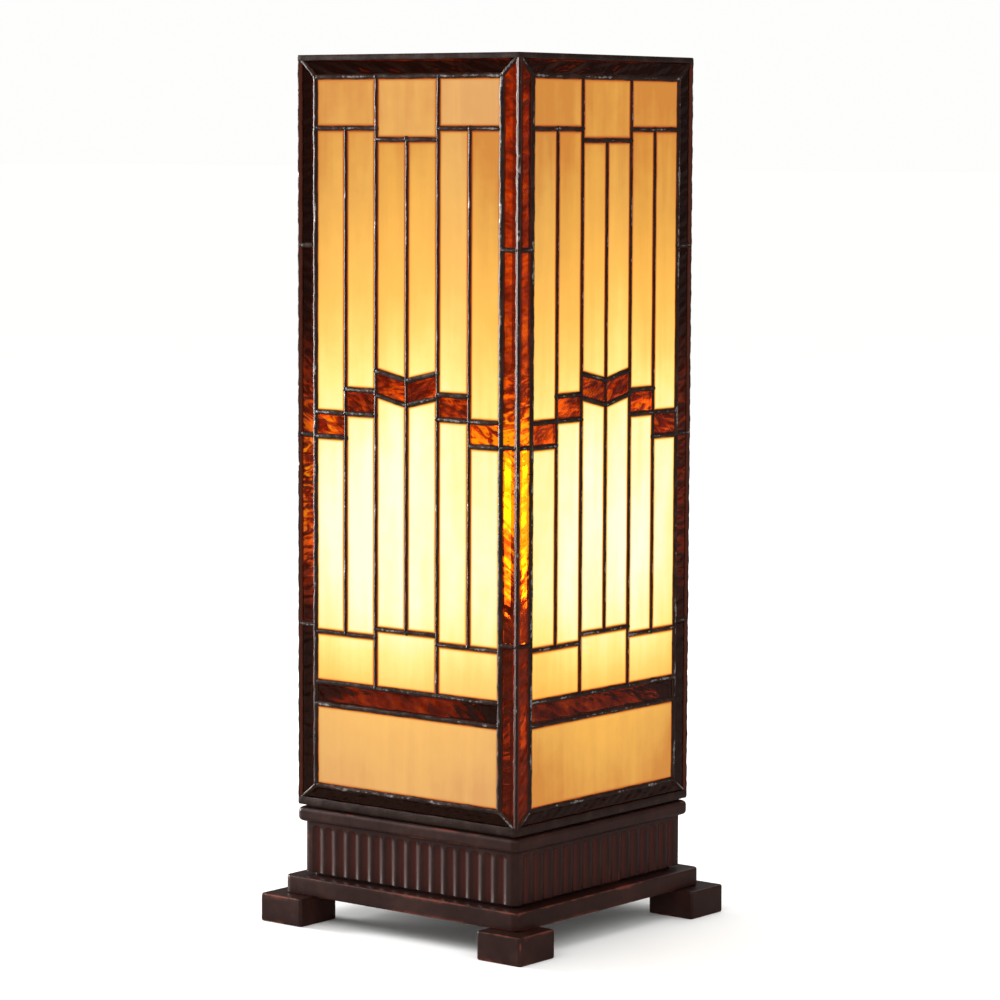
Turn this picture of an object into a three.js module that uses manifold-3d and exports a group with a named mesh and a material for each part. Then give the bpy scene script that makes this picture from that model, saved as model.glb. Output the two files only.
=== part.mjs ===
// A table lamp: a four-sided stained glass column that lifts off a fluted base, over a lampholder and bulb.
// Millimetres, +Z up, with the origin at the centre of the feet where they stand.
// The front is the -Y side, and the right is the +X side.
import * as THREE from 'three';
import { mergeVertices } from 'three/addons/utils/BufferGeometryUtils.js';
import Module from 'manifold-3d';

const wasm = await Module();
wasm.setup();

// ---- clearances ----
const fit_gap = 0.3; // between pieces that are fitted to each other
const bulb_play = 0.5; // between the bulb's screw cap and the holder's thread tube
const seat_play = 0.8; // between the shade and the frame that centres it

// ---- overall sizes: everything under the shade follows its width ----
const shade_width = 142.8; // outside, over the solder
const shade_height = 380.8;

// ---- base ----
const foot_overhang = 8.7; // how far the feet stand out past the plinth plate
const foot_size = 27.7;
const foot_height = 14.4;
const foot_corner = 1.5;
const foot_edge = 0.9;
const plate_margin = 7.3; // how far the plinth plate stands out past the frieze
const plate_thickness = 9.4;
const plate_corner = 4.0;
const plate_edge = 0.9;
const plinth_rim = 26.3; // width of the plate left round the opening that the underside board closes
const cover_thickness = 3;
const cover_lap = 5; // how far the board reaches past the opening
const frieze_height = 27.9;
const frieze_corner = 3.0;
const frieze_wall = 9;
const frieze_step = 1.6; // the recessed foot of the frieze, which leaves a shadow line over the plate
const frieze_step_depth = 3.2;
const frieze_band = 2.2; // plain band under the flutes
const frieze_top_band = 1.4; // plain band over the flutes
const flute_count = 16;
const flute_depth = 1.7;
const flute_margin = 5.0; // plain corner beside the outer flutes
const flute_ridge = 1.6; // flat top of the ridge between two flutes
const flute_steps = 4;
const ledge_reveal = 0.55; // how far the ledge stands out past the shade
const ledge_overhang = 2.95; // how far it stands out past the frieze
const ledge_thickness = 7.4;
const ledge_corner = 3.4;
const ledge_edge = 2.2;

// ---- shade ----
const shade_lift_gap = 1.3; // the seat's flange holds the shade this far over the ledge
const seat_bearing = 1.8; // how much of the shade's bottom rim stands on the flange
const seat_height = 9; // of the centring frame over the flange
const seat_wall = 6;
const glass_thickness = 3;
const bead_height = 0.7; // how thick the solder is on each face of the glass
const bead_width = 3.2; // what shows of a solder line
const core_width = 1.0; // solder between two panes' edges
const rim_top_height = 2.0;
const rim_bottom_height = 3.3;
const seam_width = 2.2; // what shows of the corner solder on each side
const seam_core = 0.6; // solder between the mitred edges of two sides
const seam_fillet = 2.5; // inner bead in the corner
const seam_round = 0.8;

// ---- pattern, the same on all four sides ----
const border_width = 11.6; // from the shade's outer corner to the first upright line
const rail_height = 11.0; // from the shade's top or bottom edge to the first level line
const strip_count = 6;
const square_drop = 25.5; // height of an outer square in the top row
const centre_drop = 31.0; // height of the centre one
const chevron_drop = 149.8; // from the top of the field to the chevron's low point
const chevron_rise = 4.3; // how much higher the chevron's outer ends are
const tile_height = 12.1; // upright size of each amber tile
const first_step = 10.3; // from the chevron's outer end down to the next tile
const second_step = 12.2; // and down to the outer tile
const pane_height = 42.0; // the large pane at the foot
const band_height = 11.5; // the amber band over it
const low_square_rise = 25.7; // height of an outer square in the lower row
const low_centre_rise = 30.0; // height of the centre one
const stile_splits = [84, 179.8, 276.5]; // cuts across the upright border, below the top of the field

// ---- lampholder, bulb and cord outlet ----
const tube_radius = 5;
const tube_bore = 3.5;
const tube_below = 14; // how far the tube hangs into the base
const holder_rise = 41; // from the ledge to the underside of the lampholder
const nut_wall = 2.5; // of a tube nut, across its flats
const nut_height = 4;
const washer_radius = 13;
const washer_thickness = 1.6;
const holder_air = 2.6; // between the thread tube and the holder's wall
const holder_wall = 2.6;
const holder_cap_height = 17;
const holder_shell_height = 46;
const holder_lip = 1.6;
const holder_chamfer = 1.5;
const neck_height = 5;
const neck_radius = 9;
const tube_grip = 10; // how far the tube reaches into the lampholder
const insulator_height = 10;
const thread_wall = 0.8;
const thread_height = 25;
const contact_width = 6;
const contact_thickness = 0.8;
const contact_rise = 5;
const bulb_radius = 30;
const bulb_length = 105; // from the contact at its foot to the top of its glass
const bulb_cap_radius = 13;
const bulb_cap_height = 24;
const bulb_tip_radius = 4.5;
const bulb_tip_height = 1.2;
const bulb_insulator_height = 3.2;
const bulb_cap_floor = 2;
const bulb_neck_grip = 6; // how far the glass neck reaches into the cap
const bulb_flare = -0.62; // angle round the globe, in radians, where the neck's cone meets it
const bulb_wall = 1.0;
const gland_radius = 6;
const gland_bore = 3.6;
const gland_flange_radius = 8.5;
const gland_flange = 2.5;
const gland_edge = 0.8;
const gland_nut_height = 4;
const gland_nut_across = 17;
const gland_thread_end = 2; // thread showing past the nut
const gland_height = 15; // of its axis over the frieze's underside

// ---- levels and half widths that follow ----
const plate_z = foot_height;
const frieze_z = plate_z + plate_thickness;
const ledge_z = frieze_z + frieze_height;
const deck_z = ledge_z + ledge_thickness;
const shade_z = deck_z + shade_lift_gap;
const shade_top = shade_z + shade_height;
const holder_z = deck_z + holder_rise;
const half = shade_width / 2;
const glass_out = half - bead_height - fit_gap;
const glass_in = glass_out - glass_thickness;
const bead_in = glass_in - fit_gap - bead_height;
const ledge_half = half + ledge_reveal;
const frieze_half = ledge_half - ledge_overhang;
const frieze_inner = frieze_half - frieze_wall;
const flute_pitch = (2 * (frieze_half - flute_margin)) / flute_count;
const plate_half = frieze_half + plate_margin;
const window_half = plate_half - plinth_rim;
const foot_reach = plate_half + foot_overhang - foot_size / 2;
const holder_inner = bulb_cap_radius + bulb_play + thread_wall + holder_air;
const holder_radius = holder_inner + holder_wall;
const nut_across = 2 * (tube_radius + nut_wall);

const finishes = {
  resin: new THREE.MeshStandardMaterial({ color: 0x3a211c, roughness: 0.55, metalness: 0 }),
  board: new THREE.MeshStandardMaterial({ color: 0x2a2422, roughness: 0.95, metalness: 0 }),
  solder: new THREE.MeshStandardMaterial({ color: 0x2b2624, roughness: 0.4, metalness: 0.8 }),
  cream: new THREE.MeshStandardMaterial({ color: 0xf0cf8a, roughness: 0.25, metalness: 0 }),
  amber: new THREE.MeshStandardMaterial({ color: 0x8a2f0c, roughness: 0.2, metalness: 0 }),
  brass: new THREE.MeshStandardMaterial({ color: 0xb98a3e, roughness: 0.35, metalness: 1 }),
  steel: new THREE.MeshStandardMaterial({ color: 0xa8a8a4, roughness: 0.4, metalness: 1 }),
  holder: new THREE.MeshStandardMaterial({ color: 0x1d1a18, roughness: 0.4, metalness: 0 }),
  ceramic: new THREE.MeshStandardMaterial({ color: 0xe8e4da, roughness: 0.5, metalness: 0 }),
  bulb: new THREE.MeshStandardMaterial({ color: 0xfff4dc, roughness: 0.3, metalness: 0 }),
};

const lamp = new THREE.Group();

// ---- general helpers ----

// Joins a geometry's shared corners, so that it is one closed mesh.
function closed(geometry) {
  const bare = geometry.clone();
  bare.deleteAttribute('normal');
  bare.deleteAttribute('uv');
  return mergeVertices(bare, 1e-4);
}

// Turns a closed geometry into a solid that can be cut and joined.
function solid(geometry) {
  const bare = closed(geometry);
  const vertProperties = new Float32Array(bare.attributes.position.array);
  const triVerts = new Uint32Array(bare.index.array);
  return new wasm.Manifold(new wasm.Mesh({ numProp: 3, vertProperties, triVerts }));
}

// Turns a solid back into a geometry.
function geometryOf(shape) {
  const mesh = shape.getMesh();
  const geometry = new THREE.BufferGeometry();
  geometry.setAttribute('position', new THREE.BufferAttribute(mesh.vertProperties, 3));
  geometry.setIndex(new THREE.BufferAttribute(mesh.triVerts, 1));
  geometry.computeVertexNormals();
  return geometry;
}

function add(parent, name, geometry, material) {
  const mesh = new THREE.Mesh(geometry, material);
  mesh.name = name;
  parent.add(mesh);
  return mesh;
}

function joinAll(solids) {
  return solids.reduce((all, one) => all.add(one));
}

function cutAll(body, cutters) {
  return cutters.reduce((left, one) => left.subtract(one), body);
}

// A square with rounded corners, centred on the origin.
function roundedSquare(half_width, radius) {
  const shape = new THREE.Shape();
  const straight = half_width - radius;
  shape.moveTo(-straight, -half_width);
  shape.lineTo(straight, -half_width);
  shape.absarc(straight, -straight, radius, -Math.PI / 2, 0, false);
  shape.absarc(straight, straight, radius, 0, Math.PI / 2, false);
  shape.absarc(-straight, straight, radius, Math.PI / 2, Math.PI, false);
  shape.absarc(-straight, -straight, radius, Math.PI, 1.5 * Math.PI, false);
  shape.closePath();
  return shape;
}

function polygon(points) {
  return new THREE.Shape(points.map(([x, y]) => new THREE.Vector2(x, y)));
}

function square(half_width) {
  const h = half_width;
  return polygon([[-h, -h], [h, -h], [h, h], [-h, h]]);
}

// A flat shape given height from z0 to z1, with its edges eased by edge where that is over 0.
function slab(shape, z0, z1, edge = 0, corner_steps = 3) {
  const depth = z1 - z0 - 2 * edge;
  const easing = { bevelEnabled: edge > 0, bevelSize: edge, bevelThickness: edge, bevelOffset: -edge };
  const options = { depth, curveSegments: corner_steps, bevelSegments: edge > 1 ? 2 : 1, ...easing };
  const geometry = new THREE.ExtrudeGeometry(shape, options);
  return geometry.translate(0, 0, z0 + edge);
}

// A profile of [radius, height] points turned about Z.
function turned(points, segments = 24) {
  const profile = points.map(([r, z]) => new THREE.Vector2(r, z));
  return new THREE.LatheGeometry(profile, segments).rotateX(Math.PI / 2);
}

// A tube about Z: a ring profile between two radii, closed on itself.
function pipe(inner, outer, z0, z1, segments = 20) {
  return turned([[inner, z0], [outer, z0], [outer, z1], [inner, z1], [inner, z0]], segments);
}

// A hexagon nut about Z with a round bore.
function nut(bore, across, z0, z1) {
  const corner = across / Math.sqrt(3);
  const outline = new THREE.Shape();
  for (let k = 0; k < 6; k += 1) {
    const angle = (k * Math.PI) / 3;
    outline[k ? 'lineTo' : 'moveTo'](corner * Math.cos(angle), corner * Math.sin(angle));
  }
  outline.closePath();
  const hole = new THREE.Path();
  hole.absarc(0, 0, bore, 0, 2 * Math.PI, true);
  outline.holes.push(hole);
  return slab(outline, z0, z1, 0, 12);
}

// ---- the base ----

function makeFeet() {
  const corners = { front_left: [-1, -1], front_right: [1, -1], rear_left: [-1, 1], rear_right: [1, 1] };
  for (const [place, [sx, sy]] of Object.entries(corners)) {
    const block = slab(roundedSquare(foot_size / 2, foot_corner), 0, foot_height, foot_edge, 2);
    add(lamp, `foot_${place}`, block, finishes.resin).position.set(sx * foot_reach, sy * foot_reach, 0);
  }
}

function makePlinthPlate() {
  const whole = solid(slab(roundedSquare(plate_half, plate_corner), plate_z, frieze_z, plate_edge));
  const window = solid(slab(square(window_half), plate_z - 1, frieze_z + 1));
  const rebate_half = window_half + cover_lap + fit_gap;
  const rebate_top = plate_z + cover_thickness + fit_gap;
  const rebate = solid(slab(square(rebate_half), plate_z - 1, rebate_top));
  add(lamp, 'plinth_plate', geometryOf(cutAll(whole, [window, rebate])), finishes.resin);
  const board = slab(square(window_half + cover_lap), plate_z, plate_z + cover_thickness);
  add(lamp, 'base_cover', board, finishes.board);
}

// The front side's row of flutes, as [x, y] points from the left corner to the right.
function fluteRow() {
  const points = [];
  const start = (-flute_count * flute_pitch) / 2;
  const hollow = flute_pitch - flute_ridge;
  for (let k = 0; k < flute_count; k += 1) {
    for (let s = 0; s <= flute_steps; s += 1) {
      const along = start + k * flute_pitch + flute_ridge / 2 + (hollow * s) / flute_steps;
      const sunk = flute_depth * Math.sin((Math.PI * s) / flute_steps);
      points.push([along, sunk - frieze_half]);
    }
  }
  return points;
}

function makeFrieze() {
  const outline = [];
  const corner_start = frieze_half - frieze_corner;
  for (let side = 0; side < 4; side += 1) {
    const turn = (side * Math.PI) / 2;
    const spin = ([x, y]) => [
      x * Math.cos(turn) - y * Math.sin(turn),
      x * Math.sin(turn) + y * Math.cos(turn),
    ];
    outline.push(...fluteRow().map(spin));
    for (let s = 0; s <= 3; s += 1) {
      const angle = -Math.PI / 2 + (s * Math.PI) / 6;
      const x = corner_start + frieze_corner * Math.cos(angle);
      const y = -corner_start + frieze_corner * Math.sin(angle);
      outline.push(spin([x, y]));
    }
  }
  const fluted_low = frieze_z + frieze_step + frieze_band;
  const fluted_high = ledge_z - frieze_top_band;
  const edge = roundedSquare(frieze_half, frieze_corner);
  const step = roundedSquare(frieze_half - frieze_step_depth, frieze_corner);
  const parts = [
    solid(slab(step, frieze_z, frieze_z + frieze_step)),
    solid(slab(edge, frieze_z + frieze_step, fluted_low)),
    solid(slab(polygon(outline), fluted_low, fluted_high)),
    solid(slab(edge, fluted_high, ledge_z)),
  ];
  const hollow = solid(slab(square(frieze_inner), frieze_z - 1, ledge_z + 1));
  const outlet_radius = gland_radius + fit_gap;
  const drill = new THREE.CylinderGeometry(outlet_radius, outlet_radius, frieze_half, 20);
  const outlet = solid(drill.translate(0, frieze_half, frieze_z + gland_height));
  add(lamp, 'fluted_frieze', geometryOf(cutAll(joinAll(parts), [hollow, outlet])), finishes.resin);
}

function makeLedge() {
  const plate = solid(slab(roundedSquare(ledge_half, ledge_corner), ledge_z, deck_z, ledge_edge));
  const hole_radius = tube_radius + fit_gap;
  const hole = solid(turned([[0, ledge_z - 1], [hole_radius, ledge_z - 1], [hole_radius, deck_z + 1],
    [0, deck_z + 1]], 24));
  add(lamp, 'cap_ledge', geometryOf(plate.subtract(hole)), finishes.resin);
}

// The square frame that the shade drops over, with a flange under it that carries the shade.
function makeSeat() {
  const frame_half = bead_in - seam_fillet - seat_play;
  const flange = solid(slab(square(bead_in + seat_bearing), deck_z, shade_z));
  const seat_top = shade_z + seat_height;
  const frame = solid(slab(square(frame_half), shade_z, seat_top));
  const inside = solid(slab(square(frame_half - seat_wall), deck_z - 1, seat_top + 1));
  add(lamp, 'shade_seat', geometryOf(flange.add(frame).subtract(inside)), finishes.resin);
}

// ---- the lampholder, on its threaded tube ----

function makeHolder() {
  const tube_top = holder_z + tube_grip;
  add(lamp, 'threaded_tube', pipe(tube_bore, tube_radius, ledge_z - tube_below, tube_top), finishes.steel);
  const bore = tube_radius + fit_gap;
  const washer_low = ledge_z - washer_thickness;
  add(lamp, 'tube_washer', pipe(bore, washer_radius, washer_low, ledge_z), finishes.steel);
  add(lamp, 'tube_nut_lower', nut(bore, nut_across, washer_low - nut_height, washer_low), finishes.steel);
  add(lamp, 'tube_nut_upper', nut(bore, nut_across, deck_z, deck_z + nut_height), finishes.brass);

  // The cap is a cup that closes the holder from below, round the tube.
  const cap_top = holder_z + holder_cap_height;
  const floor_z = holder_z + neck_height;
  const inner = holder_inner;
  const cap = [[bore, holder_z], [neck_radius, holder_z], [neck_radius, floor_z - 1],
    [holder_radius - 3, floor_z + 1.5], [holder_radius, floor_z + 5], [holder_radius, cap_top],
    [inner, cap_top], [inner, floor_z + 5.5], [inner - 2.5, floor_z + 3.5], [bore, floor_z + 3.5],
    [bore, holder_z]];
  add(lamp, 'lampholder_cap', turned(cap), finishes.holder);

  const shell_top = cap_top + holder_shell_height;
  const lip = holder_inner - holder_air + fit_gap;
  const shell = [[inner, cap_top], [holder_radius, cap_top], [holder_radius, shell_top - holder_chamfer],
    [holder_radius - holder_chamfer, shell_top], [lip, shell_top], [lip, shell_top - holder_lip],
    [inner, shell_top - holder_lip], [inner, cap_top]];
  add(lamp, 'lampholder_shell', turned(shell), finishes.holder);

  // The insulating block stands just over the end of the tube, and carries the thread tube and the contact.
  const block_low = tube_top + fit_gap;
  const block_top = cap_top + insulator_height;
  const block = turned([[0, block_low], [inner - fit_gap, block_low], [inner - fit_gap, block_top],
    [0, block_top]]);
  add(lamp, 'lampholder_insulator', block, finishes.ceramic);

  const thread_inner = bulb_cap_radius + bulb_play;
  const thread_low = block_top + fit_gap;
  const thread_floor = contact_width + 2;
  const thread_top = thread_low + thread_height;
  const thread = [[thread_floor, thread_low], [thread_inner + thread_wall, thread_low],
    [thread_inner + thread_wall, thread_top], [thread_inner, thread_top],
    [thread_inner, thread_low + thread_wall], [thread_floor, thread_low + thread_wall],
    [thread_floor, thread_low]];
  add(lamp, 'screw_shell', turned(thread), finishes.brass);

  // A bent spring strip: a foot on the block, a riser and a top that the bulb's tip presses on.
  const t = contact_thickness;
  const strip = [[0, 0], [0, contact_rise - t], [contact_width / 2, contact_rise - t],
    [contact_width / 2, contact_rise], [-t, contact_rise], [-t, t], [-contact_width, t], [-contact_width, 0]];
  const bend = { depth: contact_width, bevelEnabled: false };
  const spring = new THREE.ExtrudeGeometry(polygon(strip), bend);
  spring.translate(0, 0, -contact_width / 2).rotateX(Math.PI / 2);
  add(lamp, 'centre_contact', spring, finishes.brass).position.set(0, 0, block_top);
  return block_top + contact_rise + fit_gap;
}

// ---- the bulb, from its foot at bulb_z ----

function makeBulb(bulb_z) {
  const tip_top = bulb_z + bulb_tip_height;
  const insulator_low = tip_top + fit_gap;
  const cap_low = insulator_low + bulb_insulator_height + fit_gap;
  const cap_top = cap_low + bulb_cap_height;
  const r = bulb_cap_radius;
  const tip = [[0, bulb_z], [bulb_tip_radius - 1, bulb_z], [bulb_tip_radius, bulb_z + bulb_tip_height / 2],
    [bulb_tip_radius, tip_top], [0, tip_top]];
  add(lamp, 'bulb_tip_contact', turned(tip, 16), finishes.steel);
  const cone = [[0, insulator_low], [bulb_tip_radius + 1, insulator_low],
    [r - bulb_cap_floor, cap_low - fit_gap], [0, cap_low - fit_gap]];
  add(lamp, 'bulb_insulator', turned(cone, 20), finishes.ceramic);
  const cap_inner = r - thread_wall;
  const floor_top = cap_low + bulb_cap_floor;
  const cup = [[0, cap_low], [r - bulb_cap_floor, cap_low], [r, floor_top], [r, cap_top],
    [cap_inner, cap_top], [cap_inner, floor_top], [0, floor_top]];
  add(lamp, 'bulb_screw_cap', turned(cup), finishes.steel);

  // The envelope: a globe that runs down into a narrower neck held in the cap, open at its foot.
  const globe_z = bulb_z + bulb_length - bulb_radius;
  const neck = cap_inner - fit_gap;
  const globe = [];
  const globe_steps = 9;
  for (let s = 0; s < globe_steps; s += 1) {
    const angle = bulb_flare + ((Math.PI / 2 - bulb_flare) * s) / globe_steps;
    globe.push([bulb_radius * Math.cos(angle), globe_z + bulb_radius * Math.sin(angle)]);
  }
  globe.push([0, globe_z + bulb_radius]);
  const skin = [[neck, cap_top - bulb_neck_grip], [neck, cap_top + 1], ...globe];
  const shrink = ([x, z]) => {
    const share = Math.max(x - bulb_wall, 0) / Math.max(x, bulb_wall);
    return [x * share, z < globe_z ? z : globe_z + (z - globe_z) * (1 - bulb_wall / bulb_radius)];
  };
  const lining = skin.map(shrink).reverse();
  const wall = [...skin, ...lining, skin[0]];
  add(lamp, 'bulb_envelope', turned(wall), finishes.bulb);
}

// ---- the cord outlet in the rear wall, with no cord in it ----

function makeGland() {
  const place = new THREE.Group();
  place.position.set(0, frieze_half, frieze_z + gland_height);
  place.rotation.x = -Math.PI / 2;
  lamp.add(place);
  const reach = frieze_wall + gland_nut_height + gland_thread_end;
  const bush = [[gland_bore, -reach], [gland_radius, -reach], [gland_radius, fit_gap],
    [gland_flange_radius, fit_gap], [gland_flange_radius, gland_flange - gland_edge],
    [gland_flange_radius - gland_edge, gland_flange], [gland_bore, gland_flange], [gland_bore, -reach]];
  add(place, 'cord_gland', turned(bush, 20), finishes.holder);
  const nut_top = -frieze_wall - fit_gap;
  const nut_ring = nut(gland_radius + fit_gap, gland_nut_across, nut_top - gland_nut_height, nut_top);
  add(place, 'gland_nut', nut_ring, finishes.holder);
}

// ---- the glass pattern of one side, drawn on the plane of the front ----
// x runs to the right from the side's middle, and z is the true height.

const field_half = half - border_width;
const field_top = shade_top - rail_height;
const field_low = shade_z + rail_height;
const pitch = (2 * field_half) / strip_count;
const line = (k) => -field_half + k * pitch;

// The height of the upper edge of the amber tile in strip k, at its left and right ends.
function tileTop(k) {
  const low_point = field_top - chevron_drop;
  const shoulder = low_point + chevron_rise;
  const rows = [
    [shoulder - first_step - second_step, shoulder - first_step - second_step],
    [shoulder - first_step, shoulder - first_step],
    [shoulder, low_point],
  ];
  const row = rows[Math.min(k, strip_count - 1 - k)];
  return k < strip_count / 2 ? row : [row[1], row[0]];
}

function quad(x0, x1, low_left, low_right, high_left, high_right) {
  return [[x0, low_left], [x1, low_right], [x1, high_right], [x0, high_left]];
}

function rectangle(half_width, low, high) {
  return quad(-half_width, half_width, low, low, high, high);
}

// Every pane of the side as the polygon between the middles of the solder lines round it.
function panes() {
  const list = [];
  const put = (kind, points) => list.push({ kind, points });
  const pane_top = field_low + pane_height;
  const band_top = pane_top + band_height;
  for (let k = 0; k < strip_count; k += 1) {
    const [left, right] = tileTop(k);
    const middle = Math.abs(k - (strip_count - 1) / 2) < 1;
    const high = field_top - (middle ? centre_drop : square_drop);
    const low = band_top + (middle ? low_centre_rise : low_square_rise);
    const x0 = line(k);
    const x1 = line(k + 1);
    const under_left = left - tile_height;
    const under_right = right - tile_height;
    put('upper_cream', quad(x0, x1, left, right, high, high));
    put('amber_tiles', quad(x0, x1, under_left, under_right, left, right));
    put('lower_cream', quad(x0, x1, low, low, under_left, under_right));
    if (k % 2 === 0) {
      const x2 = line(k + 2);
      put('upper_cream', quad(x0, x2, high, high, field_top, field_top));
      put('lower_cream', quad(x0, x2, band_top, band_top, low, low));
    }
  }
  put('amber_band', rectangle(field_half, pane_top, band_top));
  put('lower_pane', rectangle(field_half, field_low, pane_top));
  return list;
}

// The border's panes. They run on past the side's own edge, where the rims and corner seams cover them.
function borderPanes() {
  const list = [];
  const past = half + border_width;
  const levels = [field_top, ...stile_splits.map((drop) => field_top - drop), field_low];
  for (const side of [-1, 1]) {
    for (let k = 0; k + 1 < levels.length; k += 1) {
      const high = levels[k];
      const low = levels[k + 1];
      const outer_high = k === 0 ? high + (past - field_half) : high;
      const outer_low = k === levels.length - 2 ? low - (past - field_half) : low;
      const points = [[field_half, low], [past, outer_low], [past, outer_high], [field_half, high]];
      list.push(side > 0 ? points : points.map(([x, z]) => [-x, z]).reverse());
    }
  }
  const reach = past - field_half;
  const [lowest, highest] = [field_low - reach, field_top + reach];
  list.push([[-field_half, field_top], [field_half, field_top], [past, highest], [-past, highest]]);
  list.push([[-past, lowest], [past, lowest], [field_half, field_low], [-field_half, field_low]]);
  return list.map((points) => ({ kind: 'border', points }));
}

// Moves each edge of a convex polygon outwards by d, or inwards where d is under 0.
function grown(points, d) {
  const count = points.length;
  const edges = points.map((p, k) => {
    const q = points[(k + 1) % count];
    const length = Math.hypot(q[0] - p[0], q[1] - p[1]);
    const n = [(q[1] - p[1]) / length, (p[0] - q[0]) / length];
    return { n, c: n[0] * p[0] + n[1] * p[1] + d };
  });
  return edges.map((b, k) => {
    const a = edges[(k + count - 1) % count];
    const det = a.n[0] * b.n[1] - a.n[1] * b.n[0];
    return [(a.c * b.n[1] - b.c * a.n[1]) / det, (a.n[0] * b.c - b.n[0] * a.c) / det];
  });
}

// A polygon in the side's plane, as a solid between two distances from the lamp's axis.
function upright(points, inner, outer) {
  const options = { depth: outer - inner, bevelEnabled: false };
  const geometry = new THREE.ExtrudeGeometry(polygon(points), options);
  return solid(geometry.rotateX(Math.PI / 2).translate(0, -inner, 0));
}

// The middles of the joints where two amber tiles only meet at a corner.
// A small web of glass joins them there.
function tileWebs() {
  const webs = [];
  for (let k = 1; k < strip_count; k += 1) {
    const near = tileTop(k - 1)[1];
    const far = tileTop(k)[0];
    if (Math.abs(near - far) > 1) {
      webs.push([line(k), (Math.min(near, far) + Math.max(near, far) - tile_height) / 2]);
    }
  }
  return webs;
}

function makeSideSolids() {
  const low = shade_z + rim_bottom_height + fit_gap;
  const high = shade_top - rim_top_height - fit_gap;
  const field = panes();
  const all = [...field, ...borderPanes()];
  const kinds = [...new Set(field.map((pane) => pane.kind))];
  const pull_back = core_width / 2 + fit_gap;
  const reach = bead_width / 2;
  const webs = (grow) => tileWebs().map(([x, z]) => {
    const r = reach + grow;
    return upright(quad(x - r, x + r, z - r, z - r, z + r, z + r), glass_in - grow, glass_out + grow);
  });

  // All the panes of one kind, kept clear by d of the lines that part them from the other kinds.
  const region = (kind, d, inner, outer) => {
    const own = all.filter((pane) => pane.kind === kind);
    const others = all.filter((pane) => pane.kind !== kind);
    const body = joinAll(own.map((pane) => upright(pane.points, inner, outer)));
    return cutAll(body, others.map((pane) => upright(grown(pane.points, d), inner - 1, outer + 1)));
  };

  const solids = {};
  for (const kind of kinds) {
    const glass = region(kind, pull_back, glass_in, glass_out);
    solids[kind] = kind === 'amber_tiles' ? joinAll([glass, ...webs(0)]) : cutAll(glass, webs(fit_gap));
  }

  // The border glass is mitred where it meets the next side's, so it is a tapered slab with a window.
  const mitre = (seam_core / 2 + fit_gap) * Math.SQRT2;
  const section = [[-(glass_in - mitre), -glass_in], [-(glass_out - mitre), -glass_out],
    [glass_out - mitre, -glass_out], [glass_in - mitre, -glass_in]];
  const sheet = solid(slab(polygon(section), low, high));
  const window = rectangle(field_half + pull_back, field_low - pull_back, field_top + pull_back);
  solids.border = sheet.subtract(upright(window, glass_in - 1, glass_out + 1));

  // The solder: a net of beads on each face, and a core between the edges of unlike panes.
  const openings = all.map((pane) => grown(pane.points, -reach));
  const net = (half_width, inner, outer) => {
    const cutters = openings.map((points) => upright(points, inner - 1, outer + 1));
    return cutAll(upright(rectangle(half_width, low, high), inner, outer), cutters);
  };
  const front = net(half - seam_width - fit_gap, glass_out + fit_gap, half);
  const back = net(bead_in - seam_fillet - fit_gap, bead_in, glass_in - fit_gap);
  const face_in = glass_in - fit_gap;
  const face_out = glass_out + fit_gap;
  const c = core_width / 2;
  const frame = upright(rectangle(field_half + c, field_low - c, field_top + c), face_in, face_out);
  const regions = kinds.map((kind) => region(kind, c, face_in - 1, face_out + 1));
  const core = cutAll(frame, [...regions, ...webs(fit_gap)]);
  solids.came_lattice = joinAll([front, back, core]);
  return solids;
}

function makeCornerSeam() {
  const low = shade_z + rim_bottom_height + fit_gap;
  const high = shade_top - rim_top_height - fit_gap;
  const face = half - bead_height;
  const inner = half - seam_width;
  const c = (seam_core / 2) * Math.SQRT2;
  const root = glass_in - fit_gap;
  const fillet = root - seam_fillet;
  const r = seam_round;
  // One half of the section, from the outer corner to the inner one. The other half is its mirror image.
  const tip = half - r * (1 - Math.SQRT1_2);
  const half_section = [[tip, -tip], [half - r, -half], [inner, -half], [inner, -face], [face - c, -face],
    [root - c, -root], [fillet, -root]];
  const mirrored = half_section.slice(1).reverse().map(([x, y]) => [-y, -x]);
  return slab(polygon([...half_section, ...mirrored].reverse()), low, high);
}

function makeRim(z0, z1) {
  const ring = square(half);
  const hole = new THREE.Path(square(bead_in).getPoints().reverse());
  ring.holes.push(hole);
  return slab(ring, z0, z1);
}

function makeShade() {
  const solids = makeSideSolids();
  const glass_names = {
    border: ['border_glass', finishes.amber],
    upper_cream: ['upper_cream_glass', finishes.cream],
    amber_tiles: ['amber_tile_glass', finishes.amber],
    lower_cream: ['lower_cream_glass', finishes.cream],
    amber_band: ['amber_band_glass', finishes.amber],
    lower_pane: ['lower_pane_glass', finishes.cream],
    came_lattice: ['came_lattice', finishes.solder],
  };
  const geometries = {};
  for (const [key, shape] of Object.entries(solids)) {
    geometries[key] = geometryOf(shape);
  }
  const seam = makeCornerSeam();
  const sides = ['front', 'right', 'rear', 'left'];
  sides.forEach((side, k) => {
    const turn = new THREE.Group();
    turn.rotation.z = (k * Math.PI) / 2;
    lamp.add(turn);
    for (const [key, [name, finish]] of Object.entries(glass_names)) {
      add(turn, `${side}_${name}`, geometries[key], finish);
    }
    add(turn, `corner_seam_${side}_${sides[(k + 1) % 4]}`, seam, finishes.solder);
  });
  add(lamp, 'shade_bottom_rim', makeRim(shade_z, shade_z + rim_bottom_height), finishes.solder);
  add(lamp, 'shade_top_rim', makeRim(shade_top - rim_top_height, shade_top), finishes.solder);
}

makeFeet();
makePlinthPlate();
makeFrieze();
makeLedge();
makeSeat();
makeBulb(makeHolder());
makeGland();
makeShade();

export default lamp;
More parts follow.
